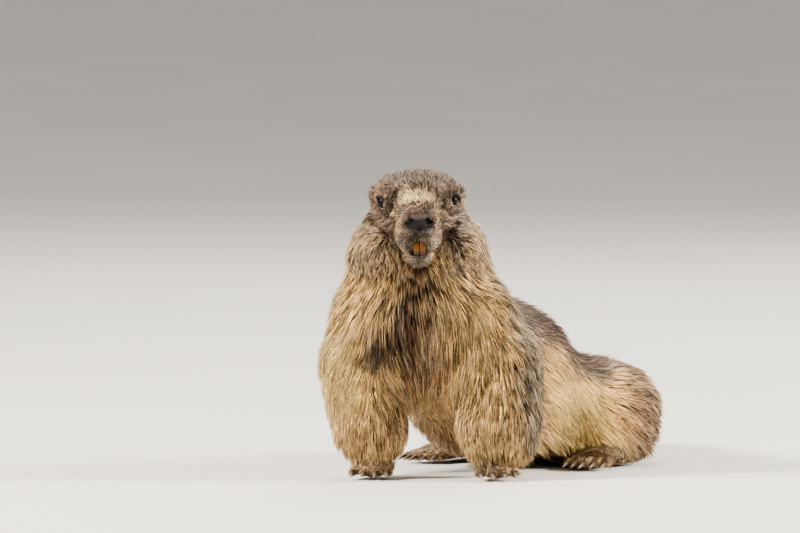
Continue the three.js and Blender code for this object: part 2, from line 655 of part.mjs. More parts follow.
// Draws the ends of very short edges together, so that no sliver is left along a cut
function tidied(solid, shortest = 0.04) {
  const { vertProperties, triVerts } = solid.getMesh();
  const points = Array.from({ length: vertProperties.length / 3 }, (_, i) =>
    new THREE.Vector3().fromArray(vertProperties, i * 3),
  );
  const faces = Array.from({ length: triVerts.length / 3 }, (_, i) => [...triVerts.slice(i * 3, i * 3 + 3)]);
  const around = points.map(() => new Set());
  faces.forEach((face, i) => face.forEach((v) => around[v].add(i)));
  const neighbours = (v) => new Set([...around[v]].flatMap((i) => faces[i]).filter((w) => w !== v));
  const draw = (a, b) => {
    const shared = [...neighbours(a)].filter((v) => neighbours(b).has(v));
    if (shared.length !== 2) return;
    for (const i of [...around[b]]) {
      around[b].delete(i);
      if (faces[i].includes(a)) {
        faces[i].forEach((v) => around[v].delete(i));
        faces[i] = null;
      } else {
        faces[i] = faces[i].map((v) => (v === b ? a : v));
        around[a].add(i);
      }
    }
  };
  for (let pass = 0; pass < 3; pass++)
    for (let i = 0; i < faces.length; i++)
      for (const [m, n] of [[0, 1], [1, 2], [2, 0]]) {
        if (!faces[i]) break;
        const [a, b] = [faces[i][m], faces[i][n]];
        if (points[a].distanceTo(points[b]) < shortest) draw(a, b);
      }
  const left = faces.filter(Boolean).flat();
  const used = [...new Set(left)];
  const place = new Map(used.map((v, i) => [v, i]));
  return { positions: used.flatMap((v) => points[v].toArray()), triangles: left.map((v) => place.get(v)) };
}

// Scene graph
const colours = {
  head: 0x8a7966,
  muzzle: 0xc2ae90,
  jaw: 0x8f8272,
  nose: 0x1d1917,
  neck: 0x9c8465,
  chest: 0xb0905f,
  trunk: 0x8d7a5e,
  rump: 0x94795c,
  tail: 0x6b5544,
  eye_left: 0x14100e,
  eye_right: 0x14100e,
  incisor_left: 0xc8741a,
  incisor_right: 0xc8741a,
};
const marmot = new THREE.Group();
marmot.name = "alpine_marmot";
for (const [name, solid] of nodes) {
  const { positions, triangles } = tidied(solid);
  const geometry = new THREE.BufferGeometry();
  geometry.setAttribute("position", new THREE.Float32BufferAttribute(positions, 3));
  geometry.setIndex(triangles);
  geometry.computeVertexNormals();
  const colour = colours[name] ?? 0xa88d66;
  const mesh = new THREE.Mesh(geometry, new THREE.MeshStandardMaterial({ color: colour, roughness: 0.9 }));
  mesh.name = name;
  marmot.add(mesh);
}

// The origin is the middle of the floor under the marmot
const { min, max } = new THREE.Box3().setFromObject(marmot, true);
marmot.position.set(-(min.x + max.x) / 2, -(min.y + max.y) / 2, 0);

export default marmot;
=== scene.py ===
# Alpine marmot, life size: skin, coat, eyes, teeth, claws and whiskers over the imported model.
import math

import bmesh
import bpy
import numpy as np
from mathutils import Matrix, Vector
from mathutils.kdtree import KDTree


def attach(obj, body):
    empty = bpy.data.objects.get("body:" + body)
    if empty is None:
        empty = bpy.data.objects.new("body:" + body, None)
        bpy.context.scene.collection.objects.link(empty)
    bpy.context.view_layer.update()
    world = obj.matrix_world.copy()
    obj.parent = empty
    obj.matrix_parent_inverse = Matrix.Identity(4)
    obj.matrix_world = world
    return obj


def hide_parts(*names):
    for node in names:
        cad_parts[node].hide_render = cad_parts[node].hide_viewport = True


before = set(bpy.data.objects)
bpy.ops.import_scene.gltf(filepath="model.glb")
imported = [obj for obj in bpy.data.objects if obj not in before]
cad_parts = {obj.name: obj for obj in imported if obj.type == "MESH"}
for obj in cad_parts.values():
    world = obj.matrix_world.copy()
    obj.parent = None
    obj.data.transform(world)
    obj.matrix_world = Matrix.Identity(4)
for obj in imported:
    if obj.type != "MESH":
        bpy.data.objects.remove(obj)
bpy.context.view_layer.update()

seeds = {"coat": 11, "whiskers": 5, "noise": 23}

# The body plan is in millimetres, with the face looking along -y
planOrigin = np.array([65.583, 192.845, 0.0])
planScale = 0.001


def toScene(points):
    return (np.asarray(points, float) - planOrigin) * planScale


def unit(vectors):
    return vectors / np.maximum(np.linalg.norm(vectors, axis=-1, keepdims=True), 1e-9)


def smoothStep(value, low, high):
    share = np.clip((value - low) / (high - low), 0, 1)
    return share * share * (3 - 2 * share)


# Camera
view = {
    "lens": 500,
    "distance": 9780,
    "elevation": 3,
    "aim": (-15.8, -20, 191),
}


def makeCamera():
    rise = math.radians(view["elevation"])
    look = Vector((0, math.cos(rise), -math.sin(rise)))
    data = bpy.data.cameras.new("camera")
    data.lens = view["lens"]
    data.clip_end = 100
    camera = bpy.data.objects.new("camera", data)
    aim = Vector(toScene(view["aim"]))
    camera.location = aim - look * view["distance"] * planScale
    camera.rotation_euler = look.to_track_quat("-Z", "Y").to_euler()
    bpy.context.scene.collection.objects.link(camera)
    bpy.context.scene.camera = camera


# Frames: x to the animal's left, y to its back, z up
def frameAt(x, y, z, turn, tilt=0):
    turned = Matrix.Rotation(math.radians(-turn), 4, "Z") @ Matrix.Rotation(math.radians(-tilt), 4, "Y")
    return Matrix.Translation((x, y, z)) @ turned


build = {
    "headHeight": 240,
    "headTilt": 1.6,
    "shoulderTurn": 15,
    "trunkTurn": 31,
    "shoulderPlace": (4, 55),
    "hindFoot": (78, 200),  # in the trunk's frame
    "hindSplay": 8,
}
world = frameAt(0, 0, 0, 0)
headFrame = frameAt(0, 0, build["headHeight"], 0, build["headTilt"])
foreFrame = frameAt(*build["shoulderPlace"], 0, build["shoulderTurn"])
trunkFrame = frameAt(*build["shoulderPlace"], 0, build["trunkTurn"])


def at(place, point):
    return np.array(place @ Vector(point))


def mirrored(point):
    return (-point[0], point[1], point[2])


# A form is a tapered limb, or a ball where it has one end, out to the tips of the coat
forms = []


def limb(place, start, end, startRadius, endRadius, part, *, blend, coat, squash=(1, 1, 1), lie=None):
    heading = Vector(lie) if lie else Vector(end) - Vector(start)
    inverse = np.array(place.inverted())
    squash = np.array(squash, float)
    forms.append({
        "turn": inverse[:3, :3],
        "move": inverse[:3, 3],
        "start": np.array(start) / squash,
        "step": (np.array(end, float) - np.array(start)) / squash,
        "startRadius": startRadius,
        "endRadius": endRadius,
        "squash": squash,
        "blend": blend,
        "coat": coat,
        "part": part,
        "lie": np.array((place.to_3x3() @ heading).normalized()),
    })


def ball(place, centre, radii, part, **look):
    limb(place, centre, centre, radii[0], radii[0], part, squash=[r / radii[0] for r in radii], **look)


def limbPair(place, start, end, startRadius, endRadius, part, lie=None, **look):
    limb(place, start, end, startRadius, endRadius, part, lie=lie, **look)
    other = mirrored(lie) if lie else None
    limb(place, mirrored(start), mirrored(end), startRadius, endRadius, part, lie=other, **look)


def ballPair(place, centre, radii, part, lie=None, **look):
    ball(place, centre, radii, part, lie=lie, **look)
    ball(place, mirrored(centre), radii, part, lie=mirrored(lie), **look)


ball(headFrame, (-1, 12, 11.5), (39, 42, 23), "head", coat=4, blend=10, lie=(0, 1, 0))
ball(headFrame, (0, 4, -8), (41, 33, 24), "head", coat=4, blend=12, lie=(0, 1, -0.2))
limb(headFrame, (0, -18, 2), (0, -49, -7), 24, 15.5, "head", coat=4, blend=12, lie=(0, 1, 0.3))
ball(headFrame, (0, -38, -18), (21, 25, 19), "head", coat=4, blend=8, lie=(0, 1, 0))
limb(headFrame, (0, -6, -33), (0, -42, -37), 21, 10, "head", coat=4, blend=7, lie=(0, 1, -0.2))
ballPair(headFrame, (32, 5, -33), (22, 33, 26), "head", coat=7, blend=10, lie=(0.5, 0.9, -0.7))
ballPair(headFrame, (26, -14, 8), (9, 9, 9), "head", coat=4, blend=8, lie=(0.5, 1, 0))
limbPair(headFrame, (23, -25, 16), (34, -2, 15), 6, 8, "head", coat=4, blend=7, lie=(0.3, 1, 0.2))
ballPair(headFrame, (9.5, -49, -22), (11, 14.5, 12.4), "muzzle", coat=3, blend=4, lie=(0.5, 1, -0.3))
ball(headFrame, (0, -43.5, -42), (11, 12.5, 6.8), "muzzle", coat=3, blend=5, lie=(0, 1, -0.4))

limb(world, (0, 36, 206), (2, 62, 160), 50, 66, "chest", blend=22, coat=17, lie=(0, 0.3, -1))
ballPair(world, (38, 46, 194), (25, 36, 32), "chest", blend=18, coat=17, lie=(0.4, 0.4, -1))
ball(foreFrame, (0, 0, 128), (64, 62, 62), "chest", blend=24, coat=18, lie=(0, 0.1, -1))
limbPair(foreFrame, (48, 6, 138), (52, -2, 96), 38, 38, "chest", blend=20, coat=17)

forelegs = [
    {
        "paw": (68, 20),
        "elbow": (66, 36, 95),
        "outside": ((82, 42, 100), (82, 32, 46)),
        "girth": 1.1,
        "turn": -6,
    },
    {
        "paw": (-39, 38),
        "elbow": (-44, 60, 95),
        "outside": ((-56, 60, 96), (-52, 46, 46)),
        "girth": 1,
        "turn": 8,
    },
]
# Toes: places across the foot, where they leave it, how far they reach, spread and shorten outwards
foreToes = {
    "places": (-12.5, -4.3, 4.3, 12.5),
    "root": (-6, 10),
    "tip": -26,
    "spread": 1.25,
    "shorter": 0.35,
}
hindToes = {
    "places": (-15, -7.5, 0, 7.5, 15),
    "root": (-38, 9),
    "tip": -63,
    "spread": 1.2,
    "shorter": 0.5,
}
toeHeight = 6


def toeTip(toes, across, past=0):
    return (across * toes["spread"], toes["tip"] - past + abs(across) * toes["shorter"], toeHeight)


def addToes(place, toes):
    for across in toes["places"]:
        root = (across * 0.8, *toes["root"])
        limb(place, root, toeTip(toes, across), 6.5, 5.2, "foot", blend=4, coat=2)


for leg in forelegs:
    x, y = leg["paw"]
    girth = leg["girth"]
    leg["frame"] = frameAt(x, y, 0, leg["turn"])
    limb(world, leg["elbow"], (x, y, 47), 38 * girth, 32 * girth, "foreleg", blend=16, coat=13)
    limb(world, *leg["outside"], 27 * girth, 24 * girth, "foreleg", blend=16, coat=13)
    limb(world, (x, y, 40), (x, y - 3, 16), 25 * girth, 15, "foreleg", blend=10, coat=6)
    ball(leg["frame"], (0, -4, 9), (16, 21, 10), "foot", blend=8, coat=2, lie=(0, -1, -0.2))
    addToes(leg["frame"], foreToes)

limb(trunkFrame, (0, 40, 112), (0, 130, 84), 64, 64, "trunk", squash=(1.1, 1, 1), blend=26, coat=17)
limb(trunkFrame, (0, 130, 82), (0, 212, 50), 62, 49, "trunk", squash=(1.15, 1, 1), blend=26, coat=17)
limb(trunkFrame, (0, 105, 56), (0, 180, 54), 44, 44, "trunk", squash=(1.6, 1, 1), blend=26, coat=17)
ballPair(trunkFrame, (48, 196, 47), (38, 56, 45), "trunk", blend=24, coat=17, lie=(0.15, 1, -0.4))
ball(trunkFrame, (1, 245, 46), (75, 60, 46), "rump", blend=24, coat=17, lie=(0, 1, -0.3))
ball(trunkFrame, (0, 288, 42), (50, 34, 38), "rump", blend=20, coat=17, lie=(0, 1, -0.3))
ballPair(trunkFrame, (60, 234, 46), (41, 56, 46), "rump", blend=24, coat=16, lie=(0.25, 1, -0.35))
hindFrames = {}
for side in (1, -1):
    across, back = build["hindFoot"]
    x, y, _ = at(trunkFrame, (side * across, back, 0))
    foot = hindFrames[side] = frameAt(x, y, 0, build["trunkTurn"] - side * build["hindSplay"])
    limb(foot, (0, 38, 11), (0, -38, 9), 11, 10, "foot", squash=(1.55, 1, 1), blend=8, coat=3)
    addToes(foot, hindToes)


# The tail leaves the rump, drops to the floor and curls round behind it
tailPath = np.array([[158, 308, 50], [175, 345, 38], [180, 386, 31], [164, 424, 29], [132, 446, 27]], float)


def alongTail(share):
    # centripetal Catmull-Rom, with its ends carried on
    points = np.vstack([2 * tailPath[0] - tailPath[1], tailPath, 2 * tailPath[-1] - tailPath[-2]])
    place = share * (len(tailPath) - 1)
    i = min(int(place), len(tailPath) - 2)
    local = place - i
    p = points[i:i + 4]
    gaps = np.maximum(np.linalg.norm(np.diff(p, axis=0), axis=1) ** 0.5, 1e-6)
    a, b, c = gaps
    leave = ((p[1] - p[0]) / a - (p[2] - p[0]) / (a + b) + (p[2] - p[1]) / b) * b
    arrive = ((p[2] - p[1]) / b - (p[3] - p[1]) / (b + c) + (p[3] - p[2]) / c) * b
    square, cube = local * local, local ** 3
    return (
        (2 * cube - 3 * square + 1) * p[1]
        + (cube - 2 * square + local) * leave
        + (3 * square - 2 * cube) * p[2]
        + (cube - square) * arrive
    )


def tailRadius(share):
    return 23 + 10 * math.sin(math.pi * share ** 0.8) - 10 * share


tailLimbs = 6
for i in range(tailLimbs):
    low, high = i / tailLimbs, (i + 1) / tailLimbs
    limb(world, alongTail(low), alongTail(high), tailRadius(low), tailRadius(high), "tail", blend=10, coat=19)

parts = ["head", "muzzle", "chest", "foreleg", "foot", "trunk", "rump", "tail"]
partOf = np.array([parts.index(form["part"]) for form in forms])
coatOf = np.array([form["coat"] for form in forms], np.float32)
lieOf = np.array([form["lie"] for form in forms], np.float32)


def bothSides(place, centre, *rest):
    return [(place, centre, *rest), (place, mirrored(centre), *rest)]


def flowPair(place, centre, radii, heading, strength):
    other = (place, mirrored(centre), radii, mirrored(heading), strength)
    return [(place, centre, radii, heading, strength), other]


# Places where the fur turns from its form's lie: frame, centre, radii, direction, strength
flows = [
    (world, (30, 0, 112), (26, 54, 64), (-0.3, 0, -1), 0.7),
    (world, (-62, 10, 118), (34, 60, 74), (-0.42, 0.1, -1), 0.8),
    (world, (-26, 0, 112), (18, 50, 60), (0.25, 0, -1), 0.6),
    *flowPair(world, (52, 26, 190), (34, 60, 46), (0.6, 0.3, -1), 0.8),
    (world, (92, 40, 100), (26, 60, 76), (0.35, 0.3, -1), 0.7),
    *flowPair(trunkFrame, (82, 105, 66), (50, 76, 90), (0.1, 0.62, -0.9), 0.85),
]
# Points that the fur turns away from: frame, centre, radii, strength
partings = bothSides(headFrame, (27, -20, 8), (12, 14, 13), 0.95)
# Places where the coat is shorter: frame, centre, radii, what is left of its depth
thinned = [
    *bothSides(headFrame, (29, -21, 8), (12, 12, 11), 0.45),
    *bothSides(headFrame, (36, 16, 15), (13, 12, 14), 0.35),
    (headFrame, (0, -62, -16), (20, 20, 20), 0.55),
    (headFrame, (0, -54, -36), (15, 14, 9), 0.5),
]


def smoothMin(a, b, width):
    near = np.maximum(width - np.abs(a - b), 0) / width
    return np.minimum(a, b) - near * near * width / 4


def distancesTo(points):
    out = np.empty((len(forms), len(points)), np.float32)
    for i, form in enumerate(forms):
        offset = (points @ form["turn"].T + form["move"]) / form["squash"] - form["start"]
        step = form["step"]
        if step @ step > 0:
            share = np.clip(offset @ step / (step @ step), 0, 1)
            offset = offset - share[:, None] * step
        else:
            share = 0
        reach = np.sqrt((offset ** 2).sum(1)) + 1e-6
        slope = np.sqrt(((offset / form["squash"]) ** 2).sum(1)) / reach + 1e-6
        out[i] = (reach - form["startRadius"] - (form["endRadius"] - form["startRadius"]) * share) / slope
    return out


def survey(points, chunk=60000):
    distance, depth = np.empty(len(points)), np.empty(len(points))
    lie, part = np.empty((len(points), 3)), np.empty(len(points), int)
    for i in range(0, len(points), chunk):
        span = slice(i, i + chunk)
        away = distancesTo(points[span])
        joined = np.full(away.shape[1], 1e3)
        for row, form in zip(away, forms):
            joined = smoothMin(joined, row, form["blend"])
        weight = 1 / (1 + (np.maximum(away, 0) / 7) ** 2) ** 2
        distance[span] = joined
        depth[span] = coatOf @ weight / weight.sum(0)
        lie[span] = weight.T @ lieOf
        part[span] = partOf[away.argmin(0)]
    lie = unit(lie)
    for place, centre, radii, heading, strength in flows:
        heading = unit(np.array(place.to_3x3() @ Vector(heading)))
        lie += (heading - lie) * (zoneWeight(points, place, centre, radii) * strength)[:, None]
    for place, centre, radii, strength in partings:
        away = unit(points - at(place, centre))
        lie += (away - lie) * (zoneWeight(points, place, centre, radii) * strength)[:, None]
    for place, centre, radii, left in thinned:
        depth *= 1 - (1 - left) * zoneWeight(points, place, centre, radii)
    return distance, depth, lie, part


# The skin lies under the coat by the coat's depth, with the face's own detail
face = {
    "box": (56, 40, -60),  # half its width, its back and its underside
    "noseMiddle": 1,
    "nosePad": ((1, -59.6, -7.6), (9, 7.4, 6.2)),
    "noseWing": ((9.2, -57.4, -8), (5.2, 6.8, 4.8)),
    "nostril": ((8.4, -65, -7.2), (4.9, 7, 2.8), -12),
    "nostrilSlit": ((12, -61.6, -5.8), (3.2, 5, 1.7), -24),
    "cleft": ((1, -70, -13), (0.9, 5, 5)),
    "philtrum": ((1, -62.5, -21), (1.6, 6.5, 8)),
    "mouth": ((0.4, -55, -32.5), (6.2, 13, 5.6)),
    "lipLine": ((0, -44, -35.6), (15, 26, 1.2)),
    "eye": (29.5, -17.5, 8.5),
    "eyeRadius": 6.3,
    "eyeGap": 0.1,
    "eyeFacing": (0.66, -0.74, 0.08),
    "lidLong": 5.7,  # half the ring's length, from above and outside to below and inside
    "lidShort": 5.5,
    "lidSlant": 24,
    "lidTube": 1.3,
    "lidForward": 3.5,
    "browFrom": (7.5, -1.8, 3.1),  # along the lids, across them and out of the head
    "browTo": (-5.6, -5.4, 3.3),
    "browRadius": 2.9,
    "ear": ((35, 17, 13), (7, 3.6, 7.6)),
    "earHollow": ((37.5, 13.2, 14.5), (5, 3.4, 5.6)),
    "earTurn": -38,
    "earTip": 18,
}
# How softly each form of the face runs into the head, in mm
faceJoins = {
    "noseWing": 3,
    "nosePad": 2,
    "nostril": 0.9,
    "nostrilSlit": 0.9,
    "cleft": 0.8,
    "philtrum": 1.5,
    "lipLine": 1.2,
    "mouth": 1.2,
    "brow": 3.5,
    "lids": 1.6,
    "eye": 0.3,
    "ear": 2.5,
    "earHollow": 2.5,
}


def ovoidDistance(local, centre, radii, turn=0, tip=0):
    inverse = np.array(frameAt(*centre, turn, tip).inverted())
    radii = np.array(radii, float)
    offset = (local @ inverse[:3, :3].T + inverse[:3, 3]) / radii
    reach = np.sqrt((offset ** 2).sum(1)) + 1e-6
    return (reach - 1) / (np.sqrt(((offset / radii) ** 2).sum(1)) / reach + 1e-6)


def eyeFacing(side):
    x, y, z = face["eyeFacing"]
    return Vector((side * x, y, z)).normalized()


def lidPlane(local, side):
    # places along the lids' long axis, across it and out of the head
    facing = eyeFacing(side)
    up = (Vector((0, 0, 1)) - facing * facing.z).normalized()
    outer = facing.cross(up) * -side
    if outer.x * side < 0:
        outer = -outer
    slant = math.radians(face["lidSlant"])
    long = up * math.cos(slant) + outer * math.sin(slant)
    short = outer * math.cos(slant) - up * math.sin(slant)
    centre = np.array((side * face["eye"][0], *face["eye"][1:]))
    return (local - centre) @ np.array((long, short, facing)).T


def lidDistance(local, side):
    a, b, c = lidPlane(local, side).T
    ring = np.hypot(a / face["lidLong"], b / face["lidShort"]) - 1
    ring = ring * (face["lidLong"] + face["lidShort"]) / 2
    return np.hypot(ring, c - face["lidForward"]) - face["lidTube"]


def browDistance(local, side):
    # the fold of skin that hangs over the inner side of the eye
    place = lidPlane(local, side)
    start, end = np.array(face["browFrom"]), np.array(face["browTo"])
    step = end - start
    share = np.clip((place - start) @ step / (step @ step), 0, 1)
    return np.linalg.norm(place - start - share[:, None] * step, axis=1) - face["browRadius"]


def carve(distance, cut, width):
    return -smoothMin(-distance, cut, width)


def faceDetail(distance, local):
    middle = face["noseMiddle"]
    pad = ovoidDistance(local, *face["nosePad"])
    for side in (1, -1):
        (x, y, z), radii = face["noseWing"]
        wing = ovoidDistance(local, (middle + side * x, y, z), radii)
        pad = smoothMin(pad, wing, faceJoins["noseWing"])
    d = smoothMin(distance, pad, faceJoins["nosePad"])
    for name in ("nostril", "nostrilSlit"):
        (x, y, z), radii, tip = face[name]
        for side in (1, -1):
            hole = ovoidDistance(local, (middle + side * x, y, z), radii, 0, side * tip)
            d = carve(d, hole, faceJoins[name])
    for name in ("cleft", "philtrum", "lipLine", "mouth"):
        d = carve(d, ovoidDistance(local, *face[name]), faceJoins[name])
    for side in (1, -1):
        d = smoothMin(d, browDistance(local, side), faceJoins["brow"])
        d = smoothMin(d, lidDistance(local, side), faceJoins["lids"])
        eye = (side * face["eye"][0], *face["eye"][1:])
        socket = ovoidDistance(local, eye, [face["eyeRadius"] + face["eyeGap"]] * 3)
        d = carve(d, socket, faceJoins["eye"])
        shape = (side * face["earTurn"], side * face["earTip"])
        for name, join in (("ear", smoothMin), ("earHollow", carve)):
            (x, y, z), radii = face[name]
            d = join(d, ovoidDistance(local, (side * x, y, z), radii, *shape), faceJoins[name])
    return d


headInverse = np.array(headFrame.inverted())


def toHead(points):
    return points @ headInverse[:3, :3].T + headInverse[:3, 3]


def inBox(local, halfWidth, back, under):
    return (np.abs(local[:, 0]) < halfWidth) & (local[:, 1] < back) & (local[:, 2] > under)


def skinField(points):
    distance, depth, _, _ = survey(points)
    distance = distance + depth
    local = toHead(points)
    near = inBox(local, *face["box"])
    if near.any():
        distance[near] = faceDetail(distance[near], local[near])
    return distance


def sparseField(field, low, high, cell, band, block=6):
    # the field cell by cell near its surface, and only its sign away from it
    count = np.ceil((high - low) / cell).astype(int) + 1
    count += (-count) % block
    coarse = np.stack(np.meshgrid(*[np.arange(n // block) for n in count], indexing="ij"), -1).reshape(-1, 3)
    middle = field(low + (coarse + 0.5) * block * cell)
    reach = band + block * cell * 0.95
    values = np.repeat(np.repeat(np.repeat(
        np.where(middle < 0, -60.0, 60.0).reshape(count // block), block, 0), block, 1), block, 2)
    within = np.stack(np.meshgrid(*[np.arange(block)] * 3, indexing="ij"), -1).reshape(-1, 3)
    close = coarse[np.abs(middle) < reach]
    index = (close[:, None] * block + within).reshape(-1, 3)
    values[tuple(index.T)] = field(low + index * cell)
    return values, index


def surfaceNet(values, low, cell):
    inside = values < 0
    shape = np.array(values.shape) - 1
    total, crossed = np.zeros((*shape, 3), np.float32), np.zeros(shape, np.int8)
    edges = []
    for axis in range(3):
        steps = [(0, 1) if other != axis else (0,) for other in range(3)]
        for a in [(i, j, k) for i in steps[0] for j in steps[1] for k in steps[2]]:
            edges.append((axis, a))
    for axis, a in edges:
        b = [a[i] + (i == axis) for i in range(3)]
        first = values[tuple(slice(a[i], a[i] + shape[i]) for i in range(3))]
        last = values[tuple(slice(b[i], b[i] + shape[i]) for i in range(3))]
        cut = np.nonzero((first < 0) != (last < 0))
        share = first[cut] / (first[cut] - last[cut])
        place = np.tile(np.array(a, np.float32), (len(share), 1))
        place[:, axis] += share
        total[cut] += place
        crossed[cut] += 1
    active = np.nonzero(crossed)
    number = np.full(shape, -1)
    number[active] = np.arange(len(active[0]))
    points = low + (np.stack(active, -1) + total[active] / crossed[active][:, None]) * cell
    quads = []
    for axis in range(3):
        u, v = (axis + 1) % 3, (axis + 2) % 3
        ahead = [slice(1, -1)] * 3
        here = [slice(1, -1)] * 3
        ahead[axis] = slice(2, None)
        first, last = inside[tuple(here)], inside[tuple(ahead)]
        cut = np.stack(np.nonzero(first != last), -1) + 1
        starts = inside[tuple(cut.T)]
        ring = []
        for du, dv in ((0, 0), (1, 0), (1, 1), (0, 1)):
            cellAt = cut.copy()
            cellAt[:, u] -= du
            cellAt[:, v] -= dv
            ring.append(number[tuple(cellAt.T)])
        ring = np.stack(ring, -1)
        ring[~starts] = ring[~starts][:, ::-1]
        quads.append(ring)
    return points, np.concatenate(quads)


def gradient(field, points, step=0.6):
    out = np.empty((len(points), 3))
    for axis in range(3):
        move = np.zeros(3)
        move[axis] = step
        out[:, axis] = (field(points + move) - field(points - move)) / (2 * step)
    return out


def settled(field, points, rounds=2, most=1.5):
    for _ in range(rounds):
        slope = gradient(field, points)
        size = np.maximum((slope ** 2).sum(1), 0.25)
        off = np.clip(field(points) / size, -most, most)
        points = points - slope * off[:, None]
    return points


skinSizes = {
    "cell": 2.5,
    "band": 4,
    "fineBox": (50, 30, -56),  # of the head, where the faces are finer
    "fineSides": 22,  # mm from the middle from which they are finer behind the eyes too
    "footTop": 16,
    "lastMove": 0.8,
    "aboveFloor": 0.4,
}
planLow, planHigh = np.array([-96.0, -84.0, -8.0]), np.array([224.0, 466.0, 282.0])


def largestPart(mesh):
    mesh.verts.index_update()
    seen = np.zeros(len(mesh.verts), bool)
    best = set()
    mesh.verts.ensure_lookup_table()
    for start in mesh.verts:
        if seen[start.index]:
            continue
        found, queue = {start.index}, [start]
        seen[start.index] = True
        while queue:
            vertex = queue.pop()
            for edge in vertex.link_edges:
                other = edge.other_vert(vertex)
                if not seen[other.index]:
                    seen[other.index] = True
                    found.add(other.index)
                    queue.append(other)
        if len(found) > len(best):
            best = found
    return best


def refineSkin(mesh):
    # keeps the largest part, with finer faces on the face and feet
    skin = bmesh.new()
    skin.from_mesh(mesh)
    largest = largestPart(skin)
    bmesh.ops.delete(skin, geom=[v for v in skin.verts if v.index not in largest], context="VERTS")
    skin.verts.ensure_lookup_table()
    where = np.array([v.co for v in skin.verts])
    local = toHead(where)
    fine = inBox(local, *skinSizes["fineBox"])
    fine &= (local[:, 1] < 0) | (np.abs(local[:, 0]) > skinSizes["fineSides"])
    fine |= (where[:, 2] < skinSizes["footTop"]) & (survey(where)[3] == parts.index("foot"))
    skin.verts.index_update()
    edges = [e for e in skin.edges if fine[e.verts[0].index] and fine[e.verts[1].index]]
    bmesh.ops.subdivide_edges(skin, edges=edges, cuts=1, use_grid_fill=True)
    bmesh.ops.triangulate(skin, faces=[f for f in skin.faces if len(f.verts) > 4])
    skin.to_mesh(mesh)
    skin.free()


def unwrapSkin(skinObject):
    bpy.context.view_layer.objects.active = skinObject
    skinObject.select_set(True)
    bpy.ops.object.mode_set(mode="EDIT")
    bpy.ops.mesh.select_all(action="SELECT")
    bpy.ops.uv.smart_project(angle_limit=math.radians(66), island_margin=0.002)
    bpy.ops.object.mode_set(mode="OBJECT")
    skinObject.select_set(False)
    skinObject.data.uv_layers[0].name = "OFBake"


def makeSkin():
    cell = skinSizes["cell"]
    values, _ = sparseField(skinField, planLow, planHigh, cell, skinSizes["band"])
    points, quads = surfaceNet(values, planLow, cell)
    points = settled(skinField, points)
    mesh = bpy.data.meshes.new("skin")
    mesh.from_pydata(points.tolist(), [], quads.tolist())
    refineSkin(mesh)
    points = np.empty(len(mesh.vertices) * 3)
    mesh.vertices.foreach_get("co", points)
    points = settled(skinField, points.reshape(-1, 3), most=skinSizes["lastMove"])
    points[:, 2] = np.maximum(points[:, 2], skinSizes["aboveFloor"])
    mesh.vertices.foreach_set("co", toScene(points).ravel())
    mesh.update()
    skinObject = bpy.data.objects.new("skin", mesh)
    bpy.context.scene.collection.objects.link(skinObject)
    mesh.shade_smooth()
    unwrapSkin(skinObject)
    return skinObject, points


# Markings, with some painted light and shade: colours as the eye sees them, in zones of the body plan
def linear(colour):
    value = np.array(colour, float) / 255
    return np.where(value < 0.04045, value / 12.92, ((value + 0.055) / 1.055) ** 2.4)


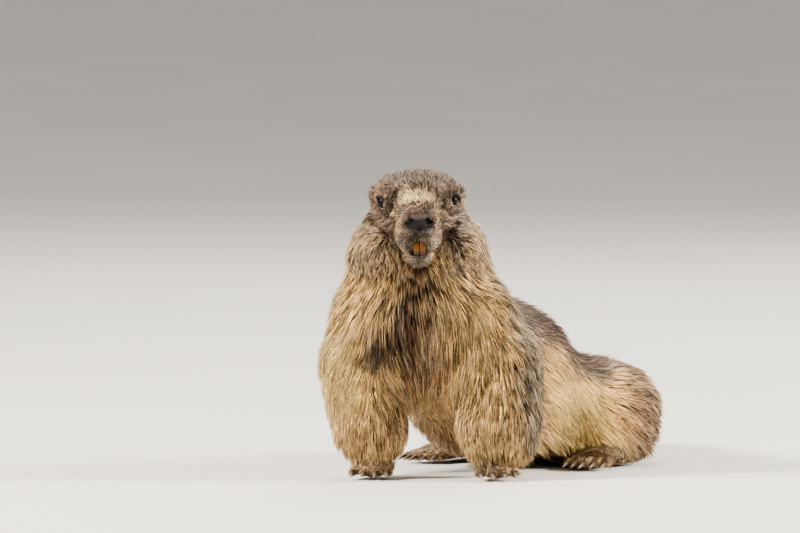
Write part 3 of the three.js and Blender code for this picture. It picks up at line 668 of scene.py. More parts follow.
coatLook = {
    "tan": (216, 180, 126),
    "richness": 1.26,
    "limits": (0.008, 0.9),
    "patch": 20,  # mm across the waver in the edges of the marks
    "waver": 12,  # mm that the edges move in it
    "underneath": 0.5,  # how light the skin under the coat is, beside the coat: the darker underfur, and painted shade between the tufts
}
marks = [
    # place, centre, radii, colour, strength
    (world, (0, 60, 150), (150, 150, 130), (214, 176, 124), 1),
    (trunkFrame, (0, 190, 60), (130, 150, 110), (178, 142, 106), 1),
    (trunkFrame, (60, 252, 50), (60, 60, 60), (126, 96, 71), 0.85),
    (trunkFrame, (82, 126, 46), (46, 76, 76), (252, 206, 142), 1),
    (trunkFrame, (-82, 126, 46), (46, 76, 76), (242, 196, 134), 0.9),
    (trunkFrame, (0, 250, 100), (76, 60, 36), (104, 79, 61), 0.85),
    (world, (12, 84, 215), (66, 44, 60), (112, 94, 82), 0.9),
    # the animal's right shoulder: its pale coat, with painted rim light along the outer edge
    (world, (-76, 20, 112), (36, 60, 76), (252, 208, 146), 0.95),
    (world, (-64, 10, 160), (28, 50, 34), (240, 194, 136), 0.8),
    (world, (42, -10, 128), (26, 50, 56), (226, 186, 130), 0.7),
    # painted shade on the inside of the animal's right foreleg, between the forelegs
    (world, (-22, 20, 62), (15, 50, 28), (130, 98, 66), 0.7),
    # the throat under the head: its darker fur, with painted shade
    (world, (-4, 0, 176), (15, 50, 26), (84, 56, 29), 0.9),
    (world, (-3, -14, 122), (14, 50, 62), (86, 54, 28), 0.9),
    # painted shade in the creases between the chest and the shoulders
    (world, (-15, -10, 139), (13, 46, 17), (62, 40, 23), 0.9),
    (world, (-28, -8, 126), (14, 46, 16), (62, 40, 23), 0.95),
    (world, (-42, -4, 113), (14, 46, 15), (64, 42, 24), 0.9),
    (world, (13, -12, 110), (10, 46, 28), (104, 68, 36), 0.7),
    (headFrame, (0, 10, 0), (64, 66, 46), (98, 78, 64), 1),
    (headFrame, (0, -52, -18), (32, 30, 32), (98, 79, 64), 1),
    (headFrame, (0, 16, 30), (56, 62, 25), (98, 78, 68), 0.95),
    (headFrame, (0, 60, 4), (60, 40, 40), (128, 110, 98), 0.8),
    (headFrame, (42, 0, -42), (26, 46, 20), (146, 120, 93), 0.85),
    (headFrame, (-42, 0, -42), (26, 46, 20), (150, 124, 96), 0.85),
    (headFrame, (-1, -41, 13), (15, 11.3, 6.4), (255, 222, 176), 1),
    # the pale muzzle fur with a painted lit rim down its sides, brighter on the animal's right
    (headFrame, (18, -50, -10), (3.4, 12, 19), (160, 134, 104), 0.8),
    (headFrame, (-18.5, -48, -10), (4, 14, 19), (186, 158, 124), 0.8),
    # painted shade beside the muzzle on the animal's left
    (headFrame, (33, -30, -20), (13, 20, 20), (80, 64, 52), 0.8),
    (headFrame, (0, -57, 1), (13, 13, 8), (98, 76, 63), 0.95),
    (headFrame, (9, -60, -23), (9, 14, 11), (79, 69, 61), 0.9),
    (headFrame, (-8, -60, -23), (9, 14, 11), (75, 65, 57), 0.9),
    (headFrame, (14, -52, -33), (5, 12, 7), (150, 138, 122), 0.8),
    (headFrame, (-15, -52, -33), (6, 12, 8), (158, 146, 130), 0.8),
    (headFrame, (0, -46, -47), (21, 20, 6), (92, 82, 72), 0.95),
    (headFrame, (0, -56, -38), (10, 10, 3.4), (66, 56, 50), 0.9),
    (headFrame, (0, -42, -54), (24, 22, 6), (100, 78, 56), 0.7),
    *bothSides(headFrame, (33, -14, 10), (8, 12, 9), (92, 75, 63), 0.7),
    *bothSides(headFrame, (27, -24, 3), (6, 6, 3.2), (196, 174, 148), 0.7),
    (world, (158, 400, 30), (60, 70, 50), (120, 92, 72), 1),
    (world, (128, 448, 27), (24, 26, 34), (58, 46, 40), 1),
]
for y, z in ((95, 168), (132, 143), (170, 121), (206, 103)):
    marks.append((trunkFrame, (10, y, z), (58, 36, 28), (80, 60, 48), 0.95))
for x, y, z in ((92, 105, 156), (107, 128, 141), (121, 150, 126), (136, 175, 110), (152, 200, 97)):
    marks.append((world, (x, y, z), (26, 60, 22), (70, 52, 41), 0.95))
for x, y, z in ((68, 80, 174), (80, 72, 152), (91, 50, 126), (95, 44, 98), (98, 44, 72), (101, 44, 46)):
    marks.append((world, (x, y, z), (16, 66, 19), (69, 57, 46), 0.9))
for leg in forelegs:
    marks.append((leg["frame"], (0, -14, 6), (26, 36, 15), (140, 116, 92), 0.9))
for foot in hindFrames.values():
    marks.append((foot, (0, -12, 8), (34, 74, 16), (132, 110, 88), 0.9))
bareMarks = [
    (headFrame, (1, -64, -8.4), (15.5, 9, 7), (16, 13, 12), 1),
    (headFrame, (1, -64, -2.6), (9, 8, 2.6), (66, 54, 46), 0.8),
    # the nostrils near black: painted shade in their hollows
    (headFrame, (8.8, -66, -7.4), (5.2, 9, 3.2), (2, 2, 2), 1),
    (headFrame, (-6.8, -66, -7.4), (5.2, 9, 3.2), (2, 2, 2), 1),
    (headFrame, (1, -66, -19), (2.3, 9, 9), (8, 6, 6), 1),
    # the dark lips, with painted shade in the mouth behind the teeth
    (headFrame, (0, -52, -34.5), (9, 16, 5), (26, 19, 18), 1),
]
lidLook = {
    "upper": (16, 12, 11),
    "lower": (142, 126, 110),
    "edge": (1.02, 1.2),  # where the bare rim ends, in half lengths of the lids
    "lowerFrom": (3.2, 4.6),  # mm down the lids from which they have the lower colour
    "out": 9,  # mm out of the head that the rim reaches
}


noiseSizes = {"table": 32, "offset": 400}  # cells each way, and an offset that keeps every place above 0


def latticeNoise(points, scale, seed):
    random = np.random.default_rng(seed)
    cells = noiseSizes["table"]
    table = random.random((cells, cells, cells, 3)).astype(np.float32)
    place = points / scale + noiseSizes["offset"]
    base = np.floor(place).astype(int)
    share = place - base
    share = share * share * (3 - 2 * share)
    out = np.zeros((len(points), 3), np.float32)
    for corner in range(8):
        step = np.array([corner & 1, corner >> 1 & 1, corner >> 2 & 1])
        weight = np.where(step, share, 1 - share).prod(1)
        out += weight[:, None] * table[tuple(((base + step) % cells).T)]
    return out


def zoneWeight(points, place, centre, radii, soft=0.35):
    inverse = np.array(place.inverted())
    offset = (points @ inverse[:3, :3].T + inverse[:3, 3] - np.array(centre)) / np.array(radii)
    return 1 - smoothStep(np.sqrt((offset ** 2).sum(1)), 1 - soft, 1 + soft)


def coatColour(points):
    wander = (latticeNoise(points, coatLook["patch"], seeds["noise"]) - 0.5) * coatLook["waver"]
    shifted = points + wander
    colour = np.tile(linear(coatLook["tan"]), (len(points), 1))
    for place, centre, radii, mark, strength in marks:
        weight = zoneWeight(shifted, place, centre, radii)[:, None] * strength
        colour += (linear(mark) - colour) * weight
    grey = colour.mean(1, keepdims=True)
    return np.clip(grey + (colour - grey) * coatLook["richness"], *coatLook["limits"])


def bareness(points):
    bare, colour = np.zeros(len(points)), np.zeros((len(points), 3))
    for place, centre, radii, mark, strength in bareMarks:
        weight = zoneWeight(points, place, centre, radii, 0.12) * strength
        colour += (linear(mark) - colour) * weight[:, None]
        bare = np.maximum(bare, weight)
    for side in (1, -1):
        a, b, c = lidPlane(toHead(points), side).T
        rim = np.hypot(a / face["lidLong"], b / face["lidShort"])
        weight = (1 - smoothStep(rim, *lidLook["edge"])) * (c > 0) * (c < lidLook["out"])
        below = smoothStep(-a, *lidLook["lowerFrom"])[:, None]
        upper, lower = linear(lidLook["upper"]), linear(lidLook["lower"])
        margin = upper + (lower - upper) * below
        colour += (margin - colour) * weight[:, None]
        bare = np.maximum(bare, weight)
    return bare, colour


# Materials
def newMaterial(name):
    material = bpy.data.materials.new(name)
    material.use_nodes = True
    nodes = material.node_tree.nodes
    return material, nodes, material.node_tree.links, nodes["Principled BSDF"]


def newGroup(name, inputs, outputs):
    group = bpy.data.node_groups.new(name, "ShaderNodeTree")
    for label, kind, value in inputs:
        socket = group.interface.new_socket(label, in_out="INPUT", socket_type=kind)
        if value is not None:
            socket.default_value = value
    for label, kind in outputs:
        group.interface.new_socket(label, in_out="OUTPUT", socket_type=kind)
    return group, group.nodes.new("NodeGroupInput"), group.nodes.new("NodeGroupOutput")


def setInputs(node, values):
    for name, value in values.items():
        node.inputs[name].default_value = value


def objectTexture(nodes, links, kind, scale=None):
    coords, texture = nodes.new("ShaderNodeTexCoord"), nodes.new(kind)
    links.new(coords.outputs["Object"], texture.inputs["Vector"])
    if scale is not None:
        texture.inputs["Scale"].default_value = scale
    return texture


def makeTicking():
    group, given, out = newGroup(
        "furTicking",
        [
            ("Colour", "NodeSocketColor", None),
            ("Scale", "NodeSocketFloat", 900.0),
            ("Strength", "NodeSocketFloat", 0.35),
        ],
        [("Colour", "NodeSocketColor"), ("Height", "NodeSocketFloat")],
    )
    nodes, links = group.nodes, group.links
    noise = objectTexture(nodes, links, "ShaderNodeTexNoise")
    noise.inputs["Detail"].default_value = 3
    links.new(given.outputs["Scale"], noise.inputs["Scale"])
    spread = nodes.new("ShaderNodeMapRange")
    setInputs(spread, {"From Min": 0.3, "From Max": 0.7})
    links.new(noise.outputs["Fac"], spread.inputs["Value"])
    for end, operation in (("To Min", "SUBTRACT"), ("To Max", "ADD")):
        limit = nodes.new("ShaderNodeMath")
        limit.operation = operation
        limit.inputs[0].default_value = 1
        links.new(given.outputs["Strength"], limit.inputs[1])
        links.new(limit.outputs[0], spread.inputs[end])
    scaled = nodes.new("ShaderNodeVectorMath")
    scaled.operation = "SCALE"
    links.new(given.outputs["Colour"], scaled.inputs[0])
    links.new(spread.outputs["Result"], scaled.inputs["Scale"])
    links.new(scaled.outputs["Vector"], out.inputs["Colour"])
    links.new(noise.outputs["Fac"], out.inputs["Height"])
    return group


def attributeNode(nodes, name):
    node = nodes.new("ShaderNodeAttribute")
    node.attribute_name = name
    return node


def tickedColour(nodes, links, ticking, shader, scale, strength):
    colour = attributeNode(nodes, "coatColour")
    ticks = nodes.new("ShaderNodeGroup")
    ticks.node_tree = ticking
    setInputs(ticks, {"Scale": scale, "Strength": strength})
    links.new(colour.outputs["Color"], ticks.inputs["Colour"])
    links.new(ticks.outputs["Colour"], shader.inputs["Base Color"])
    return ticks


def stirredRamp(nodes, links, shader, texture, amount, attribute, stops):
    # a ramp along an attribute, stirred by a texture
    place = attributeNode(nodes, attribute)
    stirred = nodes.new("ShaderNodeMath")
    stirred.operation = "MULTIPLY_ADD"
    stirred.inputs[1].default_value = amount
    links.new(texture.outputs["Fac"], stirred.inputs[0])
    links.new(place.outputs["Fac"], stirred.inputs[2])
    ramp = rampNode(nodes, stops)
    links.new(stirred.outputs[0], ramp.inputs["Fac"])
    links.new(ramp.outputs["Color"], shader.inputs["Base Color"])


def bumpInto(nodes, links, height, shader, distance, strength):
    bump = nodes.new("ShaderNodeBump")
    setInputs(bump, {"Distance": distance, "Strength": strength})
    links.new(height, bump.inputs["Height"])
    links.new(bump.outputs["Normal"], shader.inputs["Normal"])


def makeCoatMaterial(ticking):
    material, nodes, links, shader = newMaterial("marmotFur")
    ticks = tickedColour(nodes, links, ticking, shader, 420, 0.3)
    setInputs(shader, {"Roughness": 0.55, "Specular IOR Level": 0.25})
    bumpInto(nodes, links, ticks.outputs["Height"], shader, 0.0002, 0.4)
    return material


def makeSkinMaterial(ticking):
    material, nodes, links, shader = newMaterial("marmotSkin")
    bare = attributeNode(nodes, "bare")
    ticks = tickedColour(nodes, links, ticking, shader, 700, 0.45)
    rough = nodes.new("ShaderNodeMapRange")
    setInputs(rough, {"To Min": 0.85, "To Max": 0.66})
    links.new(bare.outputs["Fac"], rough.inputs["Value"])
    links.new(rough.outputs["Result"], shader.inputs["Roughness"])
    shader.inputs["Specular IOR Level"].default_value = 0.14
    pebble = objectTexture(nodes, links, "ShaderNodeTexVoronoi", 950)
    mixed = nodes.new("ShaderNodeMix")
    links.new(bare.outputs["Fac"], mixed.inputs["Factor"])
    links.new(ticks.outputs["Height"], mixed.inputs["A"])
    links.new(pebble.outputs["Distance"], mixed.inputs["B"])
    bumpInto(nodes, links, mixed.outputs["Result"], shader, 0.0012, 0.8)
    return material


def rampNode(nodes, stops):
    node = nodes.new("ShaderNodeValToRGB")
    ramp = node.color_ramp
    for i, (place, colour) in enumerate(stops):
        stop = ramp.elements[i] if i < 2 else ramp.elements.new(place)
        stop.position = place
        stop.color = (*linear(colour), 1)
    return node


def makeEyeMaterial():
    material, nodes, links, shader = newMaterial("marmotEye")
    fleck = objectTexture(nodes, links, "ShaderNodeTexNoise", 1800)
    stops = [(0.4, (2, 2, 2)), (0.52, (20, 12, 9)), (0.86, (14, 9, 7)), (0.97, (6, 4, 4))]
    stirredRamp(nodes, links, shader, fleck, 0.12, "irisPlace", stops)
    setInputs(shader, {"Roughness": 0.25, "Specular IOR Level": 0.03})
    setInputs(shader, {"Coat Weight": 0.04, "Coat Roughness": 0.04})
    return material


def makeHornMaterial(name, stops, scale, roughness):
    material, nodes, links, shader = newMaterial(name)
    stretch = objectTexture(nodes, links, "ShaderNodeMapping", (1, 1, 0.18))
    streaks = nodes.new("ShaderNodeTexNoise")
    setInputs(streaks, {"Scale": scale, "Detail": 4})
    links.new(stretch.outputs["Vector"], streaks.inputs["Vector"])
    stirredRamp(nodes, links, shader, streaks, 0.4, "along", stops)
    setInputs(shader, {"Roughness": roughness, "Specular IOR Level": 0.2})
    bumpInto(nodes, links, streaks.outputs["Fac"], shader, 0.0003, 0.4)
    return material


# Meshes from arrays
def meshFrom(name, points, triangles, material):
    mesh = bpy.data.meshes.new(name)
    mesh.vertices.add(len(points))
    mesh.vertices.foreach_set("co", np.ascontiguousarray(points, np.float32).ravel())
    mesh.loops.add(triangles.size)
    mesh.loops.foreach_set("vertex_index", np.ascontiguousarray(triangles, np.int32).ravel())
    mesh.polygons.add(len(triangles))
    mesh.polygons.foreach_set("loop_start", np.arange(0, triangles.size, 3, dtype=np.int32))
    mesh.update(calc_edges=True)
    mesh.materials.append(material)
    mesh.shade_smooth()
    piece = bpy.data.objects.new(name, mesh)
    bpy.context.scene.collection.objects.link(piece)
    return piece


def setAttribute(mesh, name, kind, values):
    layer = mesh.attributes.new(name, kind, "POINT")
    values = np.ascontiguousarray(values, np.float32)
    if kind == "FLOAT_COLOR":
        values = np.concatenate([values, np.ones((len(values), 1), np.float32)], 1)
        layer.data.foreach_set("color", values.ravel())
    else:
        layer.data.foreach_set("value", values.ravel())


class CoatGrid:
    cell = 4.0
    margin = 12
    band = 22
    plainDepth = 14

    def __init__(self):
        self.low = planLow - self.margin
        high = planHigh + self.margin
        values, index = sparseField(lambda p: survey(p)[0], self.low, high, self.cell, self.band)
        distance, depth, lie, _ = survey(self.low + index * self.cell)
        self.table = np.zeros((*values.shape, 8), np.float32)
        self.table[..., 0] = values
        self.table[..., 1] = self.plainDepth
        self.table[tuple(index.T)] = np.concatenate(
            [distance[:, None], depth[:, None], unit(lie), np.zeros((len(index), 3))], 1)
        slope = np.stack(np.gradient(self.table[..., 0], self.cell), -1)
        self.table[..., 5:8] = unit(slope)

    def look(self, points):
        place = np.clip((points - self.low) / self.cell, 0, np.array(self.table.shape[:3]) - 1.001)
        base = place.astype(int)
        share = (place - base).astype(np.float32)
        out = np.zeros((len(points), 8), np.float32)
        for corner in range(8):
            step = np.array([corner & 1, corner >> 1 & 1, corner >> 2 & 1])
            weight = np.where(step, share, 1 - share).prod(1)
            out += weight[:, None] * self.table[tuple((base + step).T)]
        return out[:, 0], out[:, 1], out[:, 2:5], unit(out[:, 5:8])


# Coat
coat = {
    "tufts": {"long": 92000, "short": 45000, "fine": 28000},
    "longFrom": 6.5,  # mm of depth from which a tuft follows the body
    "fineTo": 2.8,  # mm of depth below which it is a single blade
    "longLength": 2.15,  # for each mm of depth
    "shortLength": 1.95,
    "fineLength": 1.9,
    "longWidth": 1.15,
    "fullDepth": 14,  # mm of depth over which a long tuft has its whole width
    "shortWidth": 0.66,
    "fineWidth": 0.55,
    "flatness": 0.5,
    "pencil": 2.9,  # mm between the fine points that tufts gather into
    "lock": 15.0,  # mm between the larger locks
    "pencilPull": 0.55,
    "lockPull": 0.3,
    "shortPencil": 2.6,
    "shortLock": 9,
    "shortPull": 0.3,
    "guardHairs": 0.16,  # share of the long tufts that are thin and stand proud
    "waves": ((46, 1.2), (15, 0.8)),  # mm across a wave of the lie, and how far it turns
    "floorGap": (2.5, 9),  # mm that a hanging tuft ends above the floor
    "furredTo": 0.4,  # the bareness up to which tufts grow
    "soles": (0.6, 8),  # how far skin faces down, and how low it is, where none grow
    "underThinning": 0.6,
    "mostTriangles": 190000,
    "bakePatch": 0.003,
}
# Longer or shorter fur: frame, centre, radii, factor
lengths = [
    *bothSides(headFrame, (48, 5, -30), (26, 46, 34), 0.72),
    *[(world, (*leg["paw"], 24), (56, 56, 28), 0.85) for leg in forelegs],
    *bothSides(trunkFrame, (70, 140, 26), (50, 90, 34), 1.3),
    (world, (0, 10, 66), (24, 50, 24), 1.2),
    (world, (-70, 20, 150), (40, 60, 60), 1.1),
]
# Fur that stands up more: frame, centre, radii, degrees
raised = [
    (headFrame, (0, 14, 34), (50, 50, 16), 13),
    *bothSides(headFrame, (38, 12, 14), (16, 20, 18), 14),
]
# Fur that hangs free of the form under it: frame, centre, radii, share
hanging = [
    *[(world, (*leg["paw"], 40), (56, 56, 34), 0.9) for leg in forelegs],
    (trunkFrame, (0, 145, 26), (140, 120, 46), 0.9),
    *bothSides(trunkFrame, (96, 240, 20), (34, 90, 34), 0.3),
]
# Where pale and dark hairs are mixed more, or less
grizzled = [
    (headFrame, (0, 0, 0), (90, 90, 66), 1.15),
    (trunkFrame, (0, 150, 150), (70, 190, 60), 1.15),
    (trunkFrame, (82, 120, 50), (46, 76, 80), 0.45),
    # fewer dark hairs on the animal's right shoulder, part of its painted rim light
    (world, (-76, 20, 112), (36, 60, 76), 0.72),
    (trunkFrame, (0, 260, 50), (130, 70, 90), 0.95),
]


class SkinPlaces:
    # what the coat needs to know of each point and triangle of the skin
    def __init__(self, skinObject, points):
        mesh = skinObject.data
        mesh.calc_loop_triangles()
        count = len(mesh.loop_triangles)
        corners, loops = np.empty(count * 3, int), np.empty(count * 3, int)
        mesh.loop_triangles.foreach_get("vertices", corners)
        mesh.loop_triangles.foreach_get("loops", loops)
        self.corners = corners.reshape(-1, 3)
        uv = np.empty(len(mesh.loops) * 2)
        mesh.uv_layers[0].data.foreach_get("uv", uv)
        self.uv = uv.reshape(-1, 2)[loops.reshape(-1, 3)]
        normals = np.empty(len(mesh.vertices) * 3)
        mesh.vertices.foreach_get("normal", normals)
        self.normals = normals.reshape(-1, 3)
        self.points = points
        _, self.depth, self.lie, self.part = survey(points)
        self.bare, _ = bareness(points)
        a, b, c = points[self.corners].transpose(1, 0, 2)
        self.area = np.linalg.norm(np.cross(b - a, c - a), axis=1)

    def roots(self, count, spread, random):
        down, height = coat["soles"]
        spread = spread * (self.bare < coat["furredTo"])
        spread[(self.normals[:, 2] < -down) & (self.points[:, 2] < height)] = 0
        spread *= 1 - coat["underThinning"] * smoothStep(-self.normals[:, 2], 0.3, 0.9)
        reach = np.cumsum(self.area * spread[self.corners].mean(1))
        places = (np.arange(count) + random.random(count)) / count * reach[-1]
        face = np.minimum(np.searchsorted(reach, places), len(reach) - 1)
        u, v = random.random((2, count))
        u = np.sqrt(u)
        weights = np.stack([1 - u, u * (1 - v), u * v], 1)
        chosen = self.corners[face]

        def mixed(values):
            return (values * weights[..., None]).sum(1)

        return {
            "root": mixed(self.points[chosen]),
            "normal": unit(mixed(self.normals[chosen])),
            "depth": mixed(self.depth[chosen][..., None])[:, 0],
            "lie": unit(mixed(self.lie[chosen])),
            "part": self.part[chosen[:, 0]],
            "uv": mixed(self.uv[face]),
        }


def gatherTo(points, spacing, random):
    # the nearest of a scatter of chosen roots about that far apart
    skew = np.array(Matrix.Rotation(0.7, 3, (0.3, 1, 0.5)))
    cells = np.floor(points @ skew.T / spacing + 1000).astype(int)
    order = random.permutation(len(points))
    key = ((cells[:, 0] * 4096 + cells[:, 1]) * 4096 + cells[:, 2])[order]
    _, first = np.unique(key, return_index=True)
    tree = KDTree(len(first))
    for i in order[first]:
        tree.insert(points[i], int(i))
    tree.balance()
    return np.array([tree.find(p)[1] for p in points])


def zoneFactor(points, zones, base):
    value = np.full(len(points), float(base))
    for place, centre, radii, most in zones:
        value += zoneWeight(points, place, centre, radii) * (most - base)
    return value


def waveOf(points):
    turn = np.zeros(len(points))
    for i, (across, most) in enumerate(coat["waves"]):
        turn += (latticeNoise(points, across, seeds["noise"] + 1 + i)[:, 0] - 0.5) * 2 * most
    return turn


def varied(span, count, random):
    # the span's first value, and up to its second more
    return span[0] + span[1] * random.random(count)


# Chance in the long tufts, alone and by pencil and lock, and the stations along one
longTuft = {
    "pencilLength": (0.8, 0.4),
    "ownLength": (0.86, 0.28),
    "lockLength": (0.88, 0.24),
    "guardLength": 1.15,
    "pencilTurn": 0.5,
    "ownTurn": 0.4,
    "guardTurn": 0.8,
    "lockLift": 0.24,
    "ownLift": 0.2,
    "guardLift": 0.2,
    "shares": (0, 0.3, 0.6, 1),  # of the length
    "rises": (0, 0.45, 0.76, 0.92),  # out through the depth of the coat
    "turnFrom": 1.15,
    "turnLess": 0.3,  # at each station
    "mostMove": 12,
    "mostLockMove": 8,
    "guardWidth": 0.55,
}
tuftWidths = (0.7, 0.6)


def layLong(roots, grid, random):
    # root, middle and tip of each tuft, kept to the form of the body
    count = len(roots["root"])
    depth, normal = roots["depth"], roots["normal"]
    pencils = gatherTo(roots["root"], coat["pencil"], random)
    locks = gatherTo(roots["root"], coat["lock"], random)
    guard = random.random(count) < coat["guardHairs"]
    hang = zoneFactor(roots["root"], hanging, 0)
    length = coat["longLength"] * depth * zoneFactor(roots["root"], lengths, 1)
    ownLength = varied(longTuft["pencilLength"], count, random)[pencils]
    length *= ownLength * varied(longTuft["ownLength"], count, random)
    lockLength = varied(longTuft["lockLength"], count, random)[locks]
    length *= lockLength * np.where(guard, longTuft["guardLength"], 1)
    turn = waveOf(roots["root"]) + (random.random(count)[pencils] - 0.5) * longTuft["pencilTurn"]
    turn += (random.random(count) - 0.5) * np.where(guard, longTuft["guardTurn"], longTuft["ownTurn"])
    lift = 1 + (random.random(count)[locks] - 0.5) * longTuft["lockLift"]
    lift = lift + (random.random(count) - 0.5) * longTuft["ownLift"]
    lift += np.where(guard, longTuft["guardLift"], 0)
    shares, rises, most = longTuft["shares"], longTuft["rises"], longTuft["mostMove"]
    path, facing = [roots["root"]], [normal]
    for i in (1, 2, 3):
        p = path[-1]
        _, _, fieldLie, fieldNormal = grid.look(p)
        along = unit(fieldLie - fieldNormal * (fieldLie * fieldNormal).sum(1)[:, None])
        along = unit(along + (unit(fieldLie) - along) * hang[:, None])
        across = np.cross(along, fieldNormal)
        along = unit(along + across * turn[:, None] * (longTuft["turnFrom"] - longTuft["turnLess"] * i))
        q = p + along * ((shares[i] - shares[i - 1]) * length)[:, None]
        distance, _, _, fieldNormal = grid.look(q)
        level = -depth * (1 - rises[i] * lift)
        inward = np.clip(distance - level, 0, most) * (1 - hang)
        outward = np.clip(distance - level, -most, 0)
        path.append(q - fieldNormal * (inward + outward)[:, None])
        facing.append(fieldNormal)
    path, facing = np.stack([path[0], path[2], path[3]]), np.stack([facing[0], facing[2], facing[3]])
    own = path.copy()
    near = np.linalg.norm(own[0] - own[0][pencils], axis=1) < coat["pencil"] * 1.8
    for i, share in ((1, 0.6), (2, 1)):
        pull = share * coat["pencilPull"] * near * ~guard * (0.5 + 0.5 * random.random(count))
        path[i] += (own[i][pencils] - own[i]) * pull[:, None]
        toLock = np.clip(own[i][locks] - own[i], -longTuft["mostLockMove"], longTuft["mostLockMove"])
        path[i] += toLock * share * coat["lockPull"] * 0.5
    width = coat["longWidth"] * varied(tuftWidths, count, random) * np.where(guard, longTuft["guardWidth"], 1)
    width *= np.clip(depth / coat["fullDepth"], 0.6, 1)
    return offFloor(path, random), facing, width, pencils, locks, guard


def offFloor(path, random):
    # a tuft that would reach the floor is shorter
    low, high = coat["floorGap"]
    least = low + (high - low) * random.random(path.shape[1]) ** 2
    least = np.minimum(least, path[0, :, 2] * 0.8)
    drop = np.maximum(path[0, :, 2] - path[-1, :, 2], 1e-6)
    share = np.clip((path[0, :, 2] - least) / drop, 0.1, 1)
    share = np.where(path[-1, :, 2] < least, share, 1)
    path = path[0] + (path - path[0]) * share[:, None]
    path[..., 2] = np.maximum(path[..., 2], 0.8)
    return path


shortTuft = {
    "length": (0.65, 0.7),
    "least": 2,  # mm
    "rise": 16,  # degrees of chance in how steeply it stands
    "turn": 0.9,
    "sunk": 0.2,  # mm that its root is under the skin
    # share of the length and degrees off the skin, step by step
    "bends": {"short": ((0.45, 36), (0.55, 15)), "fine": ((1, 24),)},
}


def layShort(kind, roots, random):
    # a tuft that leaves the skin steeply and bends over along it
    count = len(roots["root"])
    depth, lie, normal = roots["depth"], roots["lie"], roots["normal"]
    pencils = gatherTo(roots["root"], coat["shortPencil"], random)
    locks = gatherTo(roots["root"], coat["shortLock"], random)
    length = coat[kind + "Length"] * depth * varied(shortTuft["length"], count, random)
    length = np.maximum(length, shortTuft["least"])
    rise = zoneFactor(roots["root"], raised, 0) + (random.random(count) - 0.5) * shortTuft["rise"]
    turn = waveOf(roots["root"]) * 0.5 + (random.random(count) - 0.5) * shortTuft["turn"]
    heading = unit(lie - normal * (lie * normal).sum(1)[:, None])
    heading = unit(heading + np.cross(heading, normal) * turn[:, None])
    path = [roots["root"] - normal * shortTuft["sunk"]]
    for step, angle in shortTuft["bends"][kind]:
        angle = np.radians(angle + rise)[:, None]
        ahead = heading * np.cos(angle) + normal * np.sin(angle)
        path.append(path[-1] + ahead * (length * step)[:, None])
    pull = coat["shortPull"] * random.random(count)
    path[-1] = path[-1] + (path[-1][pencils] - path[-1]) * pull[:, None]
    width = coat[kind + "Width"] * varied(tuftWidths, count, random)
    facing = np.stack([normal] * len(path))
    return offFloor(np.stack(path), random), facing, width, pencils, locks, np.zeros(count, bool)


hair = {
    # the root and middle tones darken each tuft towards the skin: the hairs' own dark bases, and painted
    # shade in the depth of the coat
    "long": {"root": 0.1, "middle": 0.62},
    "short": {"root": 0.15, "middle": 0.75},
    "fine": {"root": 0.25},
    "alike": {"long": 0.76, "short": 0.45, "fine": 0.3},  # share of tufts toned as their pencil
    "dark": (0.4, 0.1, 0.38),  # share of the tufts, and their lowest and highest tone
    "pale": (0.32, 1.25, 1.75),
    "plain": (0.7, 1.15),
    "pencils": {"long": (0.5, 1.5), "short": (0.8, 1.2), "fine": (0.85, 1.15)},
    "locks": (0.9, 1.1),
    "cream": {"long": 0.4, "short": 0.3, "fine": 0.14},  # how far a pale hair's tip turns cream
    "creamTip": (252, 229, 190),
    "creamFrom": (0.03, 0.075),  # how pale the coat is where its tips begin to turn, and where they all do
    "creamTone": 0.8,  # the least tone of a cream tip, and its brightness
    "plainCream": (0.65, 0.4),  # how far plain hairs turn cream, and the share of them that do
    "tip": 1.08,
    "grizzle": 0.95,
    "darkest": 0.15,
    "brightest": 0.86,
}


def between(limits, share):
    return limits[0] + (limits[1] - limits[0]) * share


def tuftTones(kind, laid, roots, random):
    # dark, plain and pale tufts, many of them alike within a pencil
    _, _, _, pencils, locks, guard = laid
    count = len(pencils)
    draw = random.random(count)
    draw = np.where(random.random(count) < hair["alike"][kind], draw[pencils], draw)
    dark, pale = draw < hair["dark"][0], draw > 1 - hair["pale"][0]
    tone = between(hair["plain"], random.random(count))
    tone = np.where(dark, between(hair["dark"][1:], random.random(count)), tone)
    tone = np.where(pale, between(hair["pale"][1:], random.random(count)), tone)
    grizzle = zoneFactor(roots["root"], grizzled, hair["grizzle"])
    tone = 1 + (tone - 1) * grizzle
    tone *= between(hair["pencils"][kind], random.random(count))[pencils]
    tone *= between(hair["locks"], random.random(count))[locks]
    far, share = hair["plainCream"]
    cream = np.where(pale | guard, 1, np.where(dark, 0, far) * (random.random(count) < share))
    cream = cream * hair["cream"][kind]
    return np.maximum(tone, hair["darkest"]), cream, grizzle


def capped(colour):
    return colour * np.minimum(1, hair["brightest"] / colour.max(-1, keepdims=True))


# By a tuft's number of rings: how wide each is, and where they and the tip are along it
tuftRings = {1: ((1,), (0, 1)), 2: ((0.75, 1), (0, 0.6, 1))}
tuftCorners = ((1, -0.5), (0, 1), (-1, -0.5))


def tuftPattern(rings, shares):
    # one tuft's triangles, and their places in its small patch of the map
    pattern, patch = [(0, 1, 2)], [((0, 0), (0.2, 0), (0.1, 0.1))]
    for ring in range(rings - 1):
        low, high = shares[ring], shares[ring + 1]
        for j in range(3):
            a, b = ring * 3 + j, ring * 3 + (j + 1) % 3
            left, right = j / 3, (j + 1) / 3
            pattern += [(a, b + 3, b), (a, a + 3, b + 3)]
            patch += [((left, low), (right, high), (right, low)), ((left, low), (left, high), (right, high))]
    last, low = (rings - 1) * 3, shares[-2]
    for j in range(3):
        pattern.append((last + j, rings * 3, last + (j + 1) % 3))
        patch.append(((j / 3, low), ((j + 0.5) / 3, 1), ((j + 1) / 3, low)))
    return np.array(pattern), np.array(patch)


